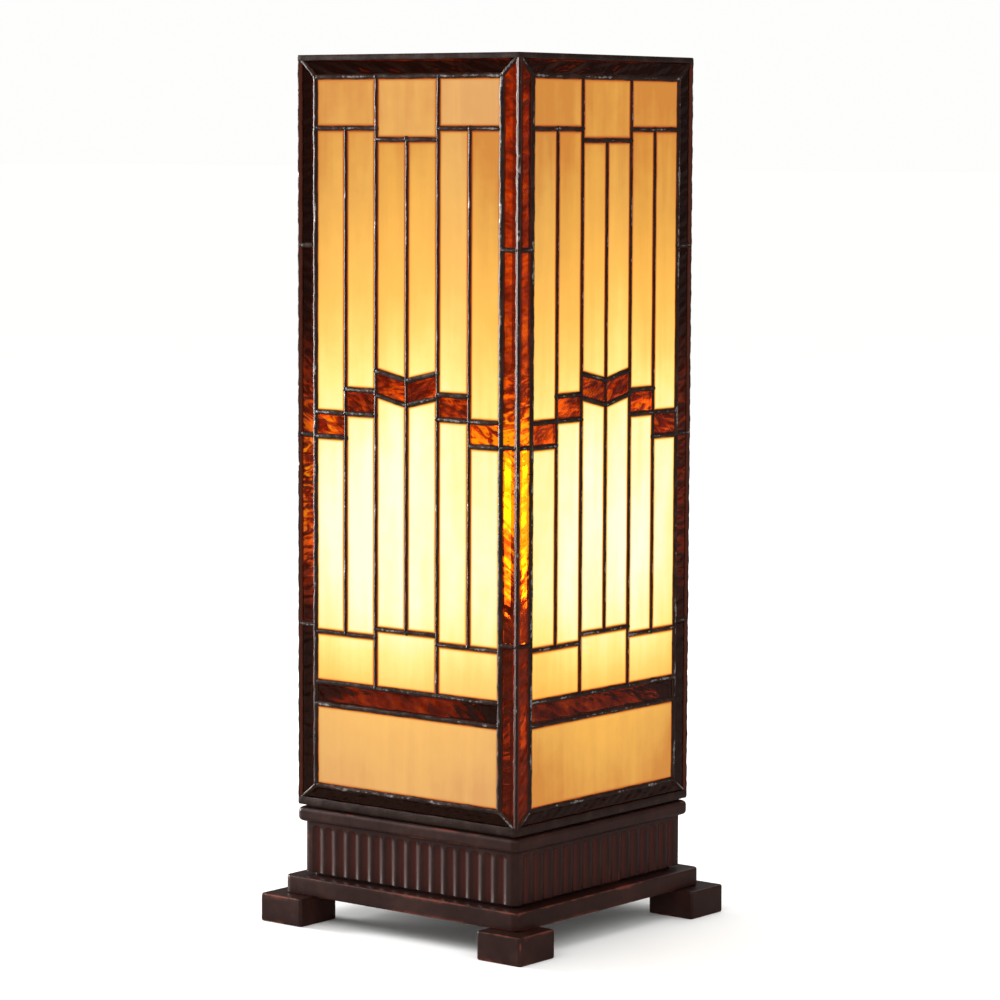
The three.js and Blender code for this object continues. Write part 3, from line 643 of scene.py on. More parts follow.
# %% Feet
worn_edge = 0.9
for name in ("front_left", "front_right", "rear_left", "rear_right"):
    low, high = span("foot_" + name)
    rings = stacked(eased((high[0] - low[0]) / 2, 1.6, low[2], high[2], worn_edge))
    rings[..., :2] += (low[:2] + high[:2]) / 2
    shape = skin(rings, edge=edge_mark(rings, low, high))
    make_piece("foot_block_" + name, shape, bronze, "base", ["foot_" + name])

# %% [markdown]
# ### The plinth plate
# The plate is a square frame: closed on top by the fluted wall, and open below, where a board closes it.
# Its section runs up the outside, in over the top, down the opening and out under the board's rebate.

# %% Plinth plate
plate_low, plate_high = span("plinth_plate")
plate_half = plate_high[0]
plate_border, rebate_width, rebate_depth = 26.3, 5.3, 3.3
window_half = plate_half - plate_border
rebate_half = window_half + rebate_width
rebate_top = plate_low[2] + rebate_depth
outside = eased(plate_half, 4.0, plate_low[2], plate_high[2], worn_edge)[2:-2]
opening = [(window_half, 0.2, plate_high[2]), (window_half, 0.2, rebate_top),
           (rebate_half, 0.2, rebate_top), (rebate_half, 0.2, plate_low[2])]
rings = stacked(outside + opening)
make_piece("plinth_casting", hoop(rings, edge=edge_mark(rings, plate_low, plate_high)), bronze, "base",
           ["plinth_plate"])

# %% [markdown]
# ### The fluted wall
# Sixteen hollows run up each side. Across a side the depth is a raised cosine for each flute, so round
# hollows and round ridges take turns. The flutes run out at the foot, over a shadow step, and at the head
# the depth follows a half circle, so each flute ends in a small arch. The corner stays plain and round,
# and so does a patch at the back where the cord's outlet sits. The hollows carry a mark that lets the red
# ground show.

# %% Fluted wall
frieze_low, frieze_high = span("fluted_frieze")
frieze_half = frieze_high[0]
frieze_z, frieze_top = frieze_low[2], frieze_high[2]
flute_count = 16
flute_depth = 1.05
flute_margin = 5.0
flute_ridge = 1.5
frieze_corner = 3.0
corner_points = 8
frieze_step, step_depth = 1.6, 3.2
flute_foot = frieze_z + frieze_step
flute_head = frieze_top - 1.4
outlet_z = frieze_z + 15.0
outlet_patch = 9.2
frieze_wall = 9
flute_pitch = 2 * (frieze_half - flute_margin) / flute_count
flute_points = 16
straight_half = frieze_half - frieze_corner
within = np.linspace(-0.5, 0.5, flute_points, endpoint=False)
flute_middles = (np.arange(flute_count) - (flute_count - 1) / 2)[:, None]
flute_x = (flute_middles + within[None, :]).ravel() * flute_pitch
edge_x = np.array([straight_half, straight_half - 0.8])
last_x = [flute_x[-1] + flute_pitch / flute_points]
along = np.concatenate([-edge_x, flute_x, last_x, edge_x[::-1]]) / straight_half
arch = (flute_pitch - flute_ridge) / 2
heights = np.concatenate([
    flute_foot + np.array([0, 0.3, 2, 5, 8, 11, 14]),
    np.linspace(flute_head - arch - 2, flute_head, 16), [frieze_top - 0.5, frieze_top]])
heights = np.unique(np.round(heights, 3))


def flute_sink(along_x, z):
    """Depth of the flutes, a raised cosine across times an arched head, and the same as a mark."""
    middle = (np.round(along_x / flute_pitch - 0.5) + 0.5) * flute_pitch
    across = np.clip(np.abs(along_x - middle) / (flute_pitch / 2), 0, 1)
    hollow = 0.5 + 0.5 * np.cos(across * np.pi)
    head_line = flute_head - 0.3 - arch * (1 - np.sqrt(np.clip(1 - across ** 2, 0, 1)))
    head = np.clip((head_line - z) / 1.6, 0, 1)
    inside = np.abs(along_x) < frieze_half - flute_margin + 0.01
    shown = np.clip((head_line + 0.3 - z) / 0.6, 0, 1)
    return flute_depth * hollow * head * (2 - head) * inside, hollow * shown * inside


flat = square_ring(frieze_half, frieze_corner, along, corner_points)
per_side = len(flat) // 4
rings, sunk = [], []
for z in heights:
    side = flat[:per_side]
    depth, shown = flute_sink(side[:, 0], z)
    on_face = np.abs(side[:, 1]) > frieze_half - 0.01
    walls = []
    for k in range(4):
        share = on_face * 1.0
        if k == 2:
            share = on_face * np.clip((np.hypot(side[:, 0], z - outlet_z) - outlet_patch) / 1.5, 0, 1)
        wall = np.column_stack([side[:, 0], side[:, 1] + depth * share, np.full(per_side, z)])
        walls.append(carried(wall, k))
        sunk.append(shown * share)
    rings.append(np.concatenate(walls))
outer = np.stack(rings)
sunk = np.concatenate(sunk).reshape(len(heights), -1)
step_half, hollow_half = frieze_half - step_depth, frieze_half - frieze_wall
shadow_step = stacked([(step_half, frieze_corner, z) for z in (frieze_z, flute_foot - 0.01)],
                      along, corner_points)
lining = stacked([(hollow_half, 0.4, z) for z in (frieze_top, frieze_z)], along, corner_points)
rings = np.concatenate([shadow_step, outer, lining])
blank = np.zeros((2, rings.shape[1]))
sunk = np.concatenate([blank, sunk, blank])
near_corner = np.minimum(np.abs(rings[..., 0]), np.abs(rings[..., 1])) - straight_half
corner = np.clip((near_corner + 1.2) / 2.4, 0, 1)
ridge = np.clip(1 - sunk * 5, 0, 1) * np.clip((flute_head - rings[..., 2]) / 2, 0, 1)
rubbed_edge = np.maximum(0.45 * corner, 0.3 * ridge)
wall_shape = hoop(rings, edge=rubbed_edge, hollow=sunk)
fluted = make_piece("fluted_wall", wall_shape, bronze, "base", ["fluted_frieze"], sharp=50)


# %% [markdown]
# ### The cord's outlet
# The cord's outlet is a round hole through the back wall. A Boolean modifier cuts it, and the result is
# kept as the piece's mesh.

# %% Outlet hole
def bored(piece, centre, axis_turn, radius, depth):
    """Cuts a round hole: a closed cylinder, taken away by a Boolean modifier that is applied at once."""
    turn = np.linspace(0, 2 * np.pi, 48, endpoint=False)
    ring = np.column_stack([radius * np.cos(turn), radius * np.sin(turn)])
    rings = np.stack([np.column_stack([ring, np.full(len(turn), z)]) for z in (-depth / 2, depth / 2)])
    points, faces, _ = skin(rings)
    mesh = bpy.data.meshes.new("drill")
    mesh.from_pydata((points * MM).tolist(), [], [f.tolist() for group in faces for f in group])
    mesh.transform(Matrix.Translation(Vector(centre) * MM) @ axis_turn)
    drill = bpy.data.objects.new("drill", mesh)
    scene.collection.objects.link(drill)
    cut = piece.modifiers.new("hole", "BOOLEAN")
    cut.operation, cut.object, cut.solver = "DIFFERENCE", drill, "EXACT"
    bpy.context.view_layer.update()
    kept = bpy.data.meshes.new_from_object(piece.evaluated_get(bpy.context.evaluated_depsgraph_get()))
    piece.modifiers.clear()
    piece.data = kept
    bpy.data.objects.remove(drill)
    print(piece.name, "bored:", len(kept.polygons), "faces")


outlet_radius = 6.3
bored(fluted, (0, frieze_half - frieze_wall / 2, outlet_z), Matrix.Rotation(math.pi / 2, 4, "X"),
      outlet_radius, frieze_wall + 5)

# %% [markdown]
# ### The ledge
# The ledge is a slab with full round edges, and a hole in the middle for the tube. Its inner rings change
# from a square to a circle: each takes the direction of the outer ring's points.

# %% Ledge
ledge_low, ledge_high = span("cap_ledge")
tube_hole = 5.3
outside = stacked(eased(ledge_high[0], 3.4, ledge_low[2], ledge_high[2], 2.2, 6)[1:-1])
bearing = np.arctan2(outside[0, :, 1], outside[0, :, 0])
ring = np.column_stack([tube_hole * np.cos(bearing), tube_hole * np.sin(bearing)])
hole = np.stack([np.column_stack([ring, np.full(len(ring), z)]) for z in (ledge_high[2], ledge_low[2])])
rings = np.concatenate([outside, hole])
mark = edge_mark(rings, ledge_low, ledge_high, 0.7)
shape = hoop(rings, edge=np.clip(mark * 1.3, 0, 1))
make_piece("ledge_slab", shape, bronze, "base", ["cap_ledge"])

# %% [markdown]
# ## The pattern of the glass
# One side holds 36 panes, and all four sides are alike. Each pane is a quadrilateral on the front side's
# plane, from the sideways place x and the height z of its corners. Two rows of tiles climb to a chevron
# in the middle, and everything else follows from them: strips above and below, squares at their ends, an
# amber band, a wide pane at the foot, and a border of stiles and rails that meet in mitres. The field is
# what lies inside the border; drops are measured down from its top, and rises up from the band.

# %% The pattern's sizes
border_width = 11.6
rail_height = 11.0
strip_count = 6
square_drop = 25.5
centre_drop = 31.0
chevron_drop = 149.8
chevron_rise = 4.3
tile_height = 12.1
tile_steps = (10.3, 12.2)
pane_height = 42.0
band_height = 11.5
low_square_rise = 25.7
low_centre_rise = 30.0
field_half = shade_half - border_width
field_top = top_high[2] - rail_height
field_low = rim_low[2] + rail_height
pane_top = field_low + pane_height
band_top = pane_top + band_height
pitch = 2 * field_half / strip_count
print("field:", round(2 * field_half, 2), "by", round(field_top - field_low, 2), "strips of", round(pitch, 2))

# %% [markdown]
# ### The panes inside the border
# One loop goes through the six strips from left to right and adds each strip's panes. The joints between
# them are kept beside the panes as strokes of solder: a start, an end and a width.

# %% Panes
def line(k):
    """The upright solder lines, counted from the left."""
    return -field_half + k * pitch


def tile_top(k):
    """Heights of the upper edge of the tile in strip k, at its left and right ends."""
    low_point = field_top - chevron_drop
    shoulder = low_point + chevron_rise
    outer, between = shoulder - sum(tile_steps), shoulder - tile_steps[0]
    row = [(outer, outer), (between, between), (shoulder, low_point)][min(k, strip_count - 1 - k)]
    return row if k < strip_count / 2 else row[::-1]


def quad(x0, x1, low_left, low_right, high_left, high_right):
    return np.array([[x0, low_left], [x1, low_right], [x1, high_right], [x0, high_left]])


tile_line, frame_line, end_line, foot_line, thin_line, long_line = 2.7, 3.1, 2.3, 2.2, 1.55, 1.65
stile_line, mitre_line = 2.6, 2.4
panes = {kind: [] for kind in
         ("upper_cream", "amber_tile", "lower_cream", "amber_band", "lower_pane", "border")}
strokes = []
for k in range(strip_count):
    left, right = tile_top(k)
    middle = abs(k - (strip_count - 1) / 2) < 1
    high = field_top - (centre_drop if middle else square_drop)
    low = band_top + (low_centre_rise if middle else low_square_rise)
    x0, x1 = line(k), line(k + 1)
    panes["upper_cream"].append(quad(x0, x1, left, right, high, high))
    panes["amber_tile"].append(quad(x0, x1, left - tile_height, right - tile_height, left, right))
    panes["lower_cream"].append(quad(x0, x1, low, low, left - tile_height, right - tile_height))
    strokes += [((x0, left), (x1, right), tile_line),
                ((x0, left - tile_height), (x1, right - tile_height), tile_line)]
    if k % 2 == 0:
        x2 = line(k + 2)
        panes["upper_cream"].append(quad(x0, x2, high, high, field_top, field_top))
        panes["lower_cream"].append(quad(x0, x2, band_top, band_top, low, low))
        strokes += [((x0, high), (x2, high), end_line), ((x0, low), (x2, low), foot_line),
                    ((x1, low), (x1, high), thin_line)]
        if k:
            strokes.append(((x0, band_top), (x0, field_top), long_line))
panes["amber_band"].append(quad(-field_half, field_half, pane_top, pane_top, band_top, band_top))
panes["lower_pane"].append(quad(-field_half, field_half, field_low, field_low, pane_top, pane_top))
strokes += [((-field_half, z), (field_half, z), tile_line)
            for z in (field_low, pane_top, band_top, field_top)]
strokes += [((x, field_low), (x, field_top), frame_line) for x in (-field_half, field_half)]

# %% [markdown]
# ### The border
# Four amber lengths run up each edge of a side and one along its top and foot. Their ends are cut to
# mitres, which come from quadrilaterals whose outer corners stand further out than their inner ones.

# %% Border panes
stile_splits = [84, 179.8, 276.5]
mitre_gap = 0.85
border_edge = glass_out - mitre_gap
border_low = rim_high[2] + 0.2
border_high = top_low[2] - 0.2
split_levels = [field_low] + [field_top - drop for drop in reversed(stile_splits)] + [field_top]
for side in (-1, 1):
    for low, high in zip(split_levels[:-1], split_levels[1:]):
        low_out = border_low if low == field_low else low
        high_out = border_high if high == field_top else high
        corners = np.array([[field_half, low], [border_edge, low_out],
                            [border_edge, high_out], [field_half, high]])
        panes["border"].append(corners if side > 0 else (corners * [-1, 1])[[1, 0, 3, 2]])
    strokes += [((side * field_half, z), (side * border_edge, z), stile_line) for z in split_levels[1:-1]]
    strokes += [((side * field_half, field_low), (side * border_edge, border_low), mitre_line),
                ((side * field_half, field_top), (side * border_edge, border_high), mitre_line)]
panes["border"].append(quad(-field_half, field_half, field_top, field_top, border_high, border_high))
panes["border"][-1][2:, 0] = [border_edge, -border_edge]
panes["border"].append(quad(-field_half, field_half, border_low, border_low, field_low, field_low))
panes["border"][-1][:2, 0] = [-border_edge, border_edge]
print("panes on a side:", sum(len(v) for v in panes.values()), " solder lines:", len(strokes))

# %% [markdown]
# ### A pane
# A pane is a closed sheet. Its front is a grid laid between the four corners, each point a share of the
# two sides' points, with the lines close together by the edges. Its surface dips towards its edges, as
# foiled glass looks under solder, and bulges and ripples by sums of sines with random starts. The back is
# the same grid 3 mm behind, and a band of faces round the edge joins them. Marks give each point its
# distance from the edge, its pane's tone, which also sets how much painted glow it gets, and its place
# across and along the glass's grain.

# %% One pane
rng = np.random.default_rng(7)
grain_width, grain_length = 3.8, 11.0


def swell(x, z, lengths, sizes, lean, spread):
    """A smooth random surface: for each length, a sine along a direction near the lean."""
    total = np.zeros_like(x)
    for length, size in zip(lengths, sizes):
        turn, start = lean + spread * rng.uniform(-1, 1), rng.uniform(0, 2 * np.pi)
        total += size * np.sin(2 * np.pi * (x * np.cos(turn) + z * np.sin(turn)) / length + start)
    return total


def shares(length, cell):
    """Places along a side as shares of it: close together by both ends, then about a cell apart."""
    close = np.array([0, 0.7, 1.2, 1.8, 2.6])
    inner = 3.6
    between = np.linspace(inner, length - inner, max(int((length - 2 * inner) / cell), 1) + 1)
    return np.concatenate([close, between, length - close[::-1]]) / length


def pane_skin(corners, cell, lengths, sizes, mitre, tone_and_glow, lean, spread):
    """A sheet between corners given anticlockwise from the low left one, in cells of about one size."""
    half_gap = 0.5
    middle = corners.mean(0)
    gap = half_gap / np.abs(corners - middle).max(0)
    shrunk = middle + (corners - middle) * (1 - gap)
    wide = np.linalg.norm(corners[1] - corners[0])
    tall = np.linalg.norm(corners[3] - corners[0])
    s, t = np.meshgrid(shares(wide, cell), shares(tall, cell))
    rows, cols = s.shape

    def laid(c):
        low = c[0] + (c[1] - c[0]) * s[..., None]
        high = c[3] + (c[2] - c[3]) * s[..., None]
        return low + (high - low) * t[..., None]

    front = laid(shrunk)
    behind = shrunk.copy()
    behind[:, 0] = np.clip(behind[:, 0], -mitre, mitre)
    back = laid(behind)
    inset = np.minimum(np.minimum(s, 1 - s) * wide, np.minimum(t, 1 - t) * tall)
    dip = 0.35 * np.clip(1 - inset / 1.8, 0, 1) ** 2
    inner = np.clip(inset / 2.5, 0, 1)
    wave = swell(front[..., 0], front[..., 1], lengths, sizes, lean, spread) * inner
    out = glass_out - 0.05 - dip + np.clip(wave, -0.5, 0.25)
    front_points = np.stack([front[..., 0], -out, front[..., 1]], -1).reshape(-1, 3)
    back_points = np.stack([back[..., 0], -(glass_in + 0.05 + dip), back[..., 1]], -1).reshape(-1, 3)
    count = rows * cols
    index = np.arange(count).reshape(rows, cols)
    rim = np.concatenate([index[0, :-1], index[:-1, -1], index[-1, :0:-1], index[:0:-1, 0]])
    after = np.roll(rim, -1)
    faces = [net(rows, cols), net(rows, cols)[:, ::-1] + count,
             np.stack([rim, rim + count, after + count, after], 1)]
    start = rng.uniform(0, 500, 2)
    across = (front[..., 0] * np.cos(lean) + front[..., 1] * np.sin(lean)) / grain_width + start[0]
    along = (front[..., 1] * np.cos(lean) - front[..., 0] * np.sin(lean)) / grain_length + start[1]
    marks = {"inset": np.tile(np.minimum(inset, 10).ravel(), 2), "tone_and_glow": np.full(2 * count, tone_and_glow),
             "across": np.tile(across.ravel(), 2), "along": np.tile(along.ravel(), 2)}
    return np.concatenate([front_points, back_points]), faces, marks


# %% [markdown]
# ### All the glass
# Each kind of glass on each side is one piece. Cream panes bulge very slightly and are near flat, and the
# amber ones ripple strongly, so their grid is finer.

# %% Glass pieces
mitre_in = glass_in - mitre_gap
for side_number, side in enumerate(SIDES):
    for kind, outlines in panes.items():
        cream = kind in ("upper_cream", "lower_cream", "lower_pane")
        sheets = []
        for corners in outlines:
            cell = 3.0 if cream else 1.1
            lengths = (38, 23, 60) if cream else (4.3, 5.2, 7.0, 11.0, 3.6)
            sizes = (0.05, 0.04, 0.06) if cream else (0.055, 0.07, 0.08, 0.08, 0.04)
            lean, spread = (0.0, np.pi) if cream else (rng.choice([-1, 1]) * rng.uniform(0.95, 1.45), 0.5)
            # Cream panes on the right and left sides take tones from the upper half of the range, which
            # deepens their painted glow.
            tone_and_glow = rng.uniform(0.05, 0.8) if side_number % 2 == 0 else rng.uniform(0.5, 1.0)
            # An amber piece's tone also sets its painted glow. The stiles where the front and right sides
            # meet, and at the opposite corner, are raised to glow brightly. The rails and the right-hand
            # stiles of the right and left sides are kept low, as painted shade, and stay dark. The band and
            # the other stiles are lowered a little.
            if not cream:
                stile = np.ptp(corners[:, 0]) < 15 and np.ptp(corners[:, 1]) > 15
                rail = kind == "border" and not stile
                right_hand = corners[:, 0].min() > 0
                painted_dim_stile = stile and side_number % 2 == 1 and right_hand
                light = stile and (side_number % 2 == 0) == right_hand
                tone_and_glow = rng.uniform(0.0, 0.1) if rail or painted_dim_stile else rng.uniform(0.3, 0.65)
                plain = stile and not light and not painted_dim_stile
                tone_and_glow += 0.3 * light - 0.25 * (kind == "amber_band") - 0.1 * plain
            points, faces, marks = pane_skin(corners, cell, lengths, sizes, mitre_in, tone_and_glow, lean, spread)
            sheets.append((carried(points, side_number), faces, marks))
        make_piece(f"{side}_{kind}_panes", joined(sheets), opal if cream else amber, "shade",
                   [f"{side}_{kind}_glass"], sharp=50)
print("glass pieces made, triangles:", sum(v for k, v in made.items() if k.endswith("_panes")))

# %% [markdown]
# ## The solder
# A solder line is a bead laid by hand: a low dome over the joint whose height, width and path wander a
# little. Each stroke of the pattern is a stack of sections along its path. A section is half an ellipse
# outside and flat inside, where it sinks into the glass. The ends are drawn in and rounded, so strokes
# melt into each other where they cross, and a low round lump sits on each crossing.

# %% One bead
bead_sink = 0.3


def wander(along, lengths, sizes):
    """A smooth random line: sines of the given lengths and sizes along the path, with random starts."""
    starts = rng.uniform(0, 2 * np.pi, len(lengths))
    return sum(size * np.sin(2 * np.pi * along / length + start)
               for length, size, start in zip(lengths, sizes, starts))


def foot_depth(face):
    """How far out a bead's foot lies, sunk a little into the glass: face is 1 outside and -1 inside."""
    return glass_out - bead_sink if face > 0 else glass_in + bead_sink


def bead_skin(start, end, face, width, height, step, dome_points):
    """A bead along a stroke: sections of half an ellipse, drawn in and rounded at both ends."""
    start, end = np.array(start, float), np.array(end, float)
    length = np.linalg.norm(end - start)
    go = (end - start) / length
    over = 0.9
    count = max(int((length + 2 * over) / step), 4) + 1
    along = np.linspace(-over, length + over, count)
    to_end = np.minimum(along + over, length + over - along)
    closing = np.sqrt(np.clip(1 - (1 - np.clip(to_end / 1.6, 0, 1)) ** 2, 0.02, 1))
    aside = wander(along, (31, 12.5, 5.7), (0.11, 0.06, 0.03))
    wide = width / 2 * (1 + wander(along, (17, 7.3, 3.9), (0.07, 0.05, 0.04))) * closing
    tall = height * (0.9 + wander(along, (13, 5.1, 3.1), (0.05, 0.04, 0.03))) * closing
    turn = np.linspace(0, np.pi, dome_points)
    across = np.concatenate([np.cos(turn), [-0.5, 0.0, 0.5]])
    rise = np.concatenate([np.sin(turn) ** 0.85, [-0.6, -0.8, -0.6]])
    lift = np.where(rise > 0, rise * tall[:, None], rise * 0.3 * closing[:, None])
    sideways = aside[:, None] + across * wide[:, None]
    x = start[0] + go[0] * along[:, None] - face * go[1] * sideways
    z = start[1] + go[1] * along[:, None] + face * go[0] * sideways
    depth = foot_depth(face) + face * lift
    rings = np.stack([x, -depth, z], -1)
    crest = np.clip(rise, 0, 1) ** 3 * closing[:, None]
    return skin(rings, edge=crest)


def lump_skin(x, z, radius, height):
    """A low round lump: rings of a quarter ellipse from its foot up to its top."""
    turn = np.linspace(0, 2 * np.pi, 14, endpoint=False)
    climb = np.linspace(0, np.pi / 2, 5)
    r = radius * np.cos(climb)[:, None] + 0.05
    lift = height * np.sin(climb)[:, None] * np.ones_like(turn)
    rings = np.stack([x + r * np.cos(turn), -(foot_depth(1) + lift), z + r * np.sin(turn)], -1)
    return skin(rings, edge=np.clip(np.sin(climb), 0, 1)[:, None] ** 3 * np.ones_like(turn))


# %% [markdown]
# ### The nets of solder
# One piece for each side holds the beads outside, the thinner beads inside, and the lumps.

# %% Solder nets
outer_step, inner_step = 1.3, 3.0
inner_share, inner_rise = 0.65, 1.1
inner_half = 65.4
inner_low = [-inner_half, border_low + 3.5]
inner_high = [inner_half, border_high]
crossings = sorted({tuple(np.round(point, 2)) for stroke in strokes for point in stroke[:2]})
for side_number, side in enumerate(SIDES):
    beads = []
    for start, end, wide in strokes:
        beads.append(bead_skin(start, end, 1, wide, 0.95 + 0.1 * wide, outer_step, 7))
    for start, end, wide in strokes:
        ends = np.clip([start, end], inner_low, inner_high)
        beads.append(bead_skin(*ends, -1, wide * inner_share, inner_rise, inner_step, 5))
    for x, z in crossings:
        beads.append(lump_skin(x + rng.normal(0, 0.2), z + rng.normal(0, 0.2), rng.uniform(1.0, 1.6),
                               rng.uniform(1.1, 1.3)))
    points, faces, marks = joined(beads)
    points[:, 1] = np.maximum(points[:, 1], -shade_half)
    shape = carried(points, side_number), faces, marks
    make_piece(side + "_solder_net", shape, solder, "shade", [side + "_came_lattice"], sharp=70)
print("solder nets:", made["front_solder_net"], "triangles each")

# %% [markdown]
# ### The corner seams
# Two sides meet at a corner under one heavy seam. Its section has a flat dark band on each face, a round
# bead on the very corner, a thin core between the glass edges and a fillet inside. It runs straight up
# the corner, and the bead and the bands' edges wander.

# %% Corner seams
def mirrored(points):
    """A half of the section in the corner's diagonal, where x and -y change places."""
    return [(-y, -x) for x, y in reversed(points)]


bead_turn = np.radians(np.linspace(-108, 18, 7))
bead_radius = 0.78
bead_x = shade_half - bead_radius
half_band = [(68.75, -70.2), (69.0, -70.9), (69.7, -71.15), (70.15, -71.12)]
corner_bead = [(bead_x + bead_radius * np.cos(a), -bead_x + bead_radius * np.sin(a)) for a in bead_turn]
core_side = [(69.3, -69.0), (67.6, -67.2), (67.0, -64.6)]
fillet = [(65.3, -65.3)]
section = np.array(half_band + corner_bead + mirrored(half_band)
                   + core_side + fillet + mirrored(core_side))
pull, band_edge = np.zeros(len(section)), np.zeros(len(section))
band_end = len(half_band)
bead_end = band_end + len(corner_bead)
pull[band_end:bead_end] = 1.0
band_edge[:2], band_edge[bead_end + 2:bead_end + 4] = 1.0, -1.0
for side_number, side in enumerate(SIDES):
    heights = np.arange(rim_high[2] - 0.2, top_low[2] + 0.2, 1.4)
    bulge = wander(heights, (23, 9.1, 4.3), (0.06, 0.06, 0.04)) - 0.05
    slip = wander(heights, (19, 8.3, 4.9), (0.12, 0.1, 0.07))
    x = section[:, 0] + pull * bulge[:, None] + np.clip(band_edge, 0, 1) * slip[:, None]
    y = section[:, 1] - pull * bulge[:, None] + np.clip(-band_edge, 0, 1) * slip[::-1][:, None]
    x, y = np.minimum(x, shade_half), np.maximum(y, -shade_half)
    rings = np.stack([x, y, np.broadcast_to(heights[:, None], x.shape)], -1)
    shine = np.broadcast_to(pull, x.shape) * (0.68 + 0.25 * np.sin(heights / 6.0))[:, None]
    points, faces, marks = skin(rings, edge=np.clip(shine, 0, 1))
    other = SIDES[(side_number + 1) % 4]
    shape = carried(points, side_number), faces, marks
    make_piece(f"{side}_{other}_corner_solder", shape, solder, "shade",
               [f"corner_seam_{side}_{other}"], sharp=70)

# %% [markdown]
# ### The rims
# The shade's bottom and top edges are bound with smoother bands. A rim is a square frame of one section:
# up the outside, in over the top, down the inside and out again.

# %% Rims
def rim_rings(low, high, upside_down):
    """A square frame's rings: a channel that laps the glass on both faces, or the same turned over."""
    lap, ease, inside = 0.9, 0.35, glass_in - 1.0
    section = [(shade_half - ease, low), (shade_half - 0.12, low + ease), (shade_half, low + 1.2),
               (shade_half, high + lap - 0.5), (shade_half - 0.25, high + lap - 0.1),
               (glass_out - 0.1, high + lap),
               (glass_out - 0.1, high + 0.4), (glass_in + 0.1, high + 0.4), (glass_in + 0.1, high + lap),
               (inside + 0.2, high + lap), (inside, high + lap - 0.3), (inside, low + ease),
               (inside + ease, low)]
    if upside_down:
        section = [(half, low + high - z) for half, z in reversed(section)]
    rings = stacked([(half, max(0.7 - (shade_half - half) * 0.1, 0.3), z) for half, z in section],
                    np.linspace(-1, 1, 60), 4)
    sway = wander(np.arange(rings.shape[1]) * 2.3, (41, 17), (0.08, 0.06))
    lip = np.abs(rings[..., 2] - (low - lap if upside_down else high + lap)) < 0.6
    rings[..., 2] += lip * sway
    return rings


for name, node, low, high in (("bottom", "shade_bottom_rim", rim_low[2], rim_high[2]),
                              ("top", "shade_top_rim", top_low[2], top_high[2])):
    rings = rim_rings(low, high, name == "top")
    corner = np.minimum(np.abs(rings[..., 0]), np.abs(rings[..., 1])) > shade_half - 1.5
    shape = hoop(rings, edge=0.32 + 0.4 * corner)
    make_piece(name + "_binding", shape, solder, "shade", [node], sharp=50)

# %% [markdown]
# ## The bulb and its holder
# Round pieces are turned: a profile of radius and height is carried round Z. The bulb's profile is a
# globe that flares down into a neck.

# %% Turned pieces
def turned(profile, steps=64, ripple=None):
    """Rings of a profile round Z: x is r cos a, y is r sin a. A ripple adds to r by height and angle."""
    r, z = np.array(profile, float).T
    a = np.linspace(0, 2 * np.pi, steps, endpoint=False)
    rr = r[:, None] + (ripple(z[:, None], a[None, :]) if ripple else 0)
    rr = np.broadcast_to(rr, (len(r), steps))
    return np.stack([rr * np.cos(a), rr * np.sin(a), np.broadcast_to(z[:, None], rr.shape)], -1)


bulb_low, bulb_high = span("bulb_envelope")
cap_low, cap_high = span("bulb_screw_cap")
bulb_radius = bulb_high[0]
globe_z = bulb_high[2] - bulb_radius
neck = cap_high[0] - 1.1
swing = np.linspace(-0.62, np.pi / 2 - 0.02, 30)
globe = [(bulb_radius * np.cos(a), globe_z + bulb_radius * np.sin(a)) for a in swing]
flare = [(neck + (globe[0][0] - neck) * t ** 1.6, cap_high[2] + 1 + (globe[0][1] - cap_high[2] - 1) * t)
         for t in np.linspace(0, 1, 12)[:-1]]
shape = skin(turned([(neck, bulb_low[2])] + flare + globe))
make_piece("frosted_bulb", shape, bulb_light, "bulb", ["bulb_envelope"])

# %% [markdown]
# ### The threads
# The bulb's cap and the shell it screws into are thin sheet pressed into a round thread. A cosine of the
# height, wound on by the angle, makes the thread, and it fades out at both ends.

# %% Threads
thread_pitch = 3.6


def thread(depth, low, high):
    """A round thread: the radius falls by depth times half of one plus the cosine of the wound height."""
    def ripple(z, a):
        wave = 0.5 + 0.5 * np.cos(2 * np.pi * z / thread_pitch - a)
        fade = np.clip((z - low) / 1.5, 0, 1) * np.clip((high - z) / 1.5, 0, 1)
        return -depth * wave * fade
    return ripple


cap_radius = cap_high[0]
levels = np.arange(cap_low[2] + 2, cap_high[2], 0.4)
profile = [(0.4, cap_low[2]), (cap_radius - 2, cap_low[2])] + [(cap_radius, z) for z in levels]
profile += [(cap_radius - 0.2, cap_high[2]), (cap_radius - 0.8, cap_high[2]), (0.4, cap_high[2] - 0.3)]
shape = skin(turned(profile, 48, thread(0.8, cap_low[2] + 2, cap_high[2] - 2)))
make_piece("bulb_thread", shape, steel, "bulb", ["bulb_screw_cap"])

shell_low, shell_high = span("screw_shell")
levels = np.arange(shell_low[2] + 1, shell_high[2], 0.45)
out_radius = shell_high[0]
outside = [(8.0, shell_low[2]), (out_radius - 1.5, shell_low[2]), (out_radius - 0.2, shell_low[2] + 0.8)]
outside += [(out_radius, z) for z in levels]
inside = [(out_radius - 0.5, z) for z in levels[::-1]]
inside += [(out_radius - 1.6, shell_low[2] + 0.7), (8.0, shell_low[2] + 0.6)]
shape = hoop(turned(outside + inside, 48, thread(0.3, shell_low[2] + 2, shell_high[2] - 1.5)))
make_piece("holder_thread", shape, brass, "base", ["screw_shell"])

# %% [markdown]
# ### The lampholder
# The lampholder is black plastic in two parts. The cap is a plain cup, and the shell over it has two
# turned beads and a band of fine upright ribs for the fingers.

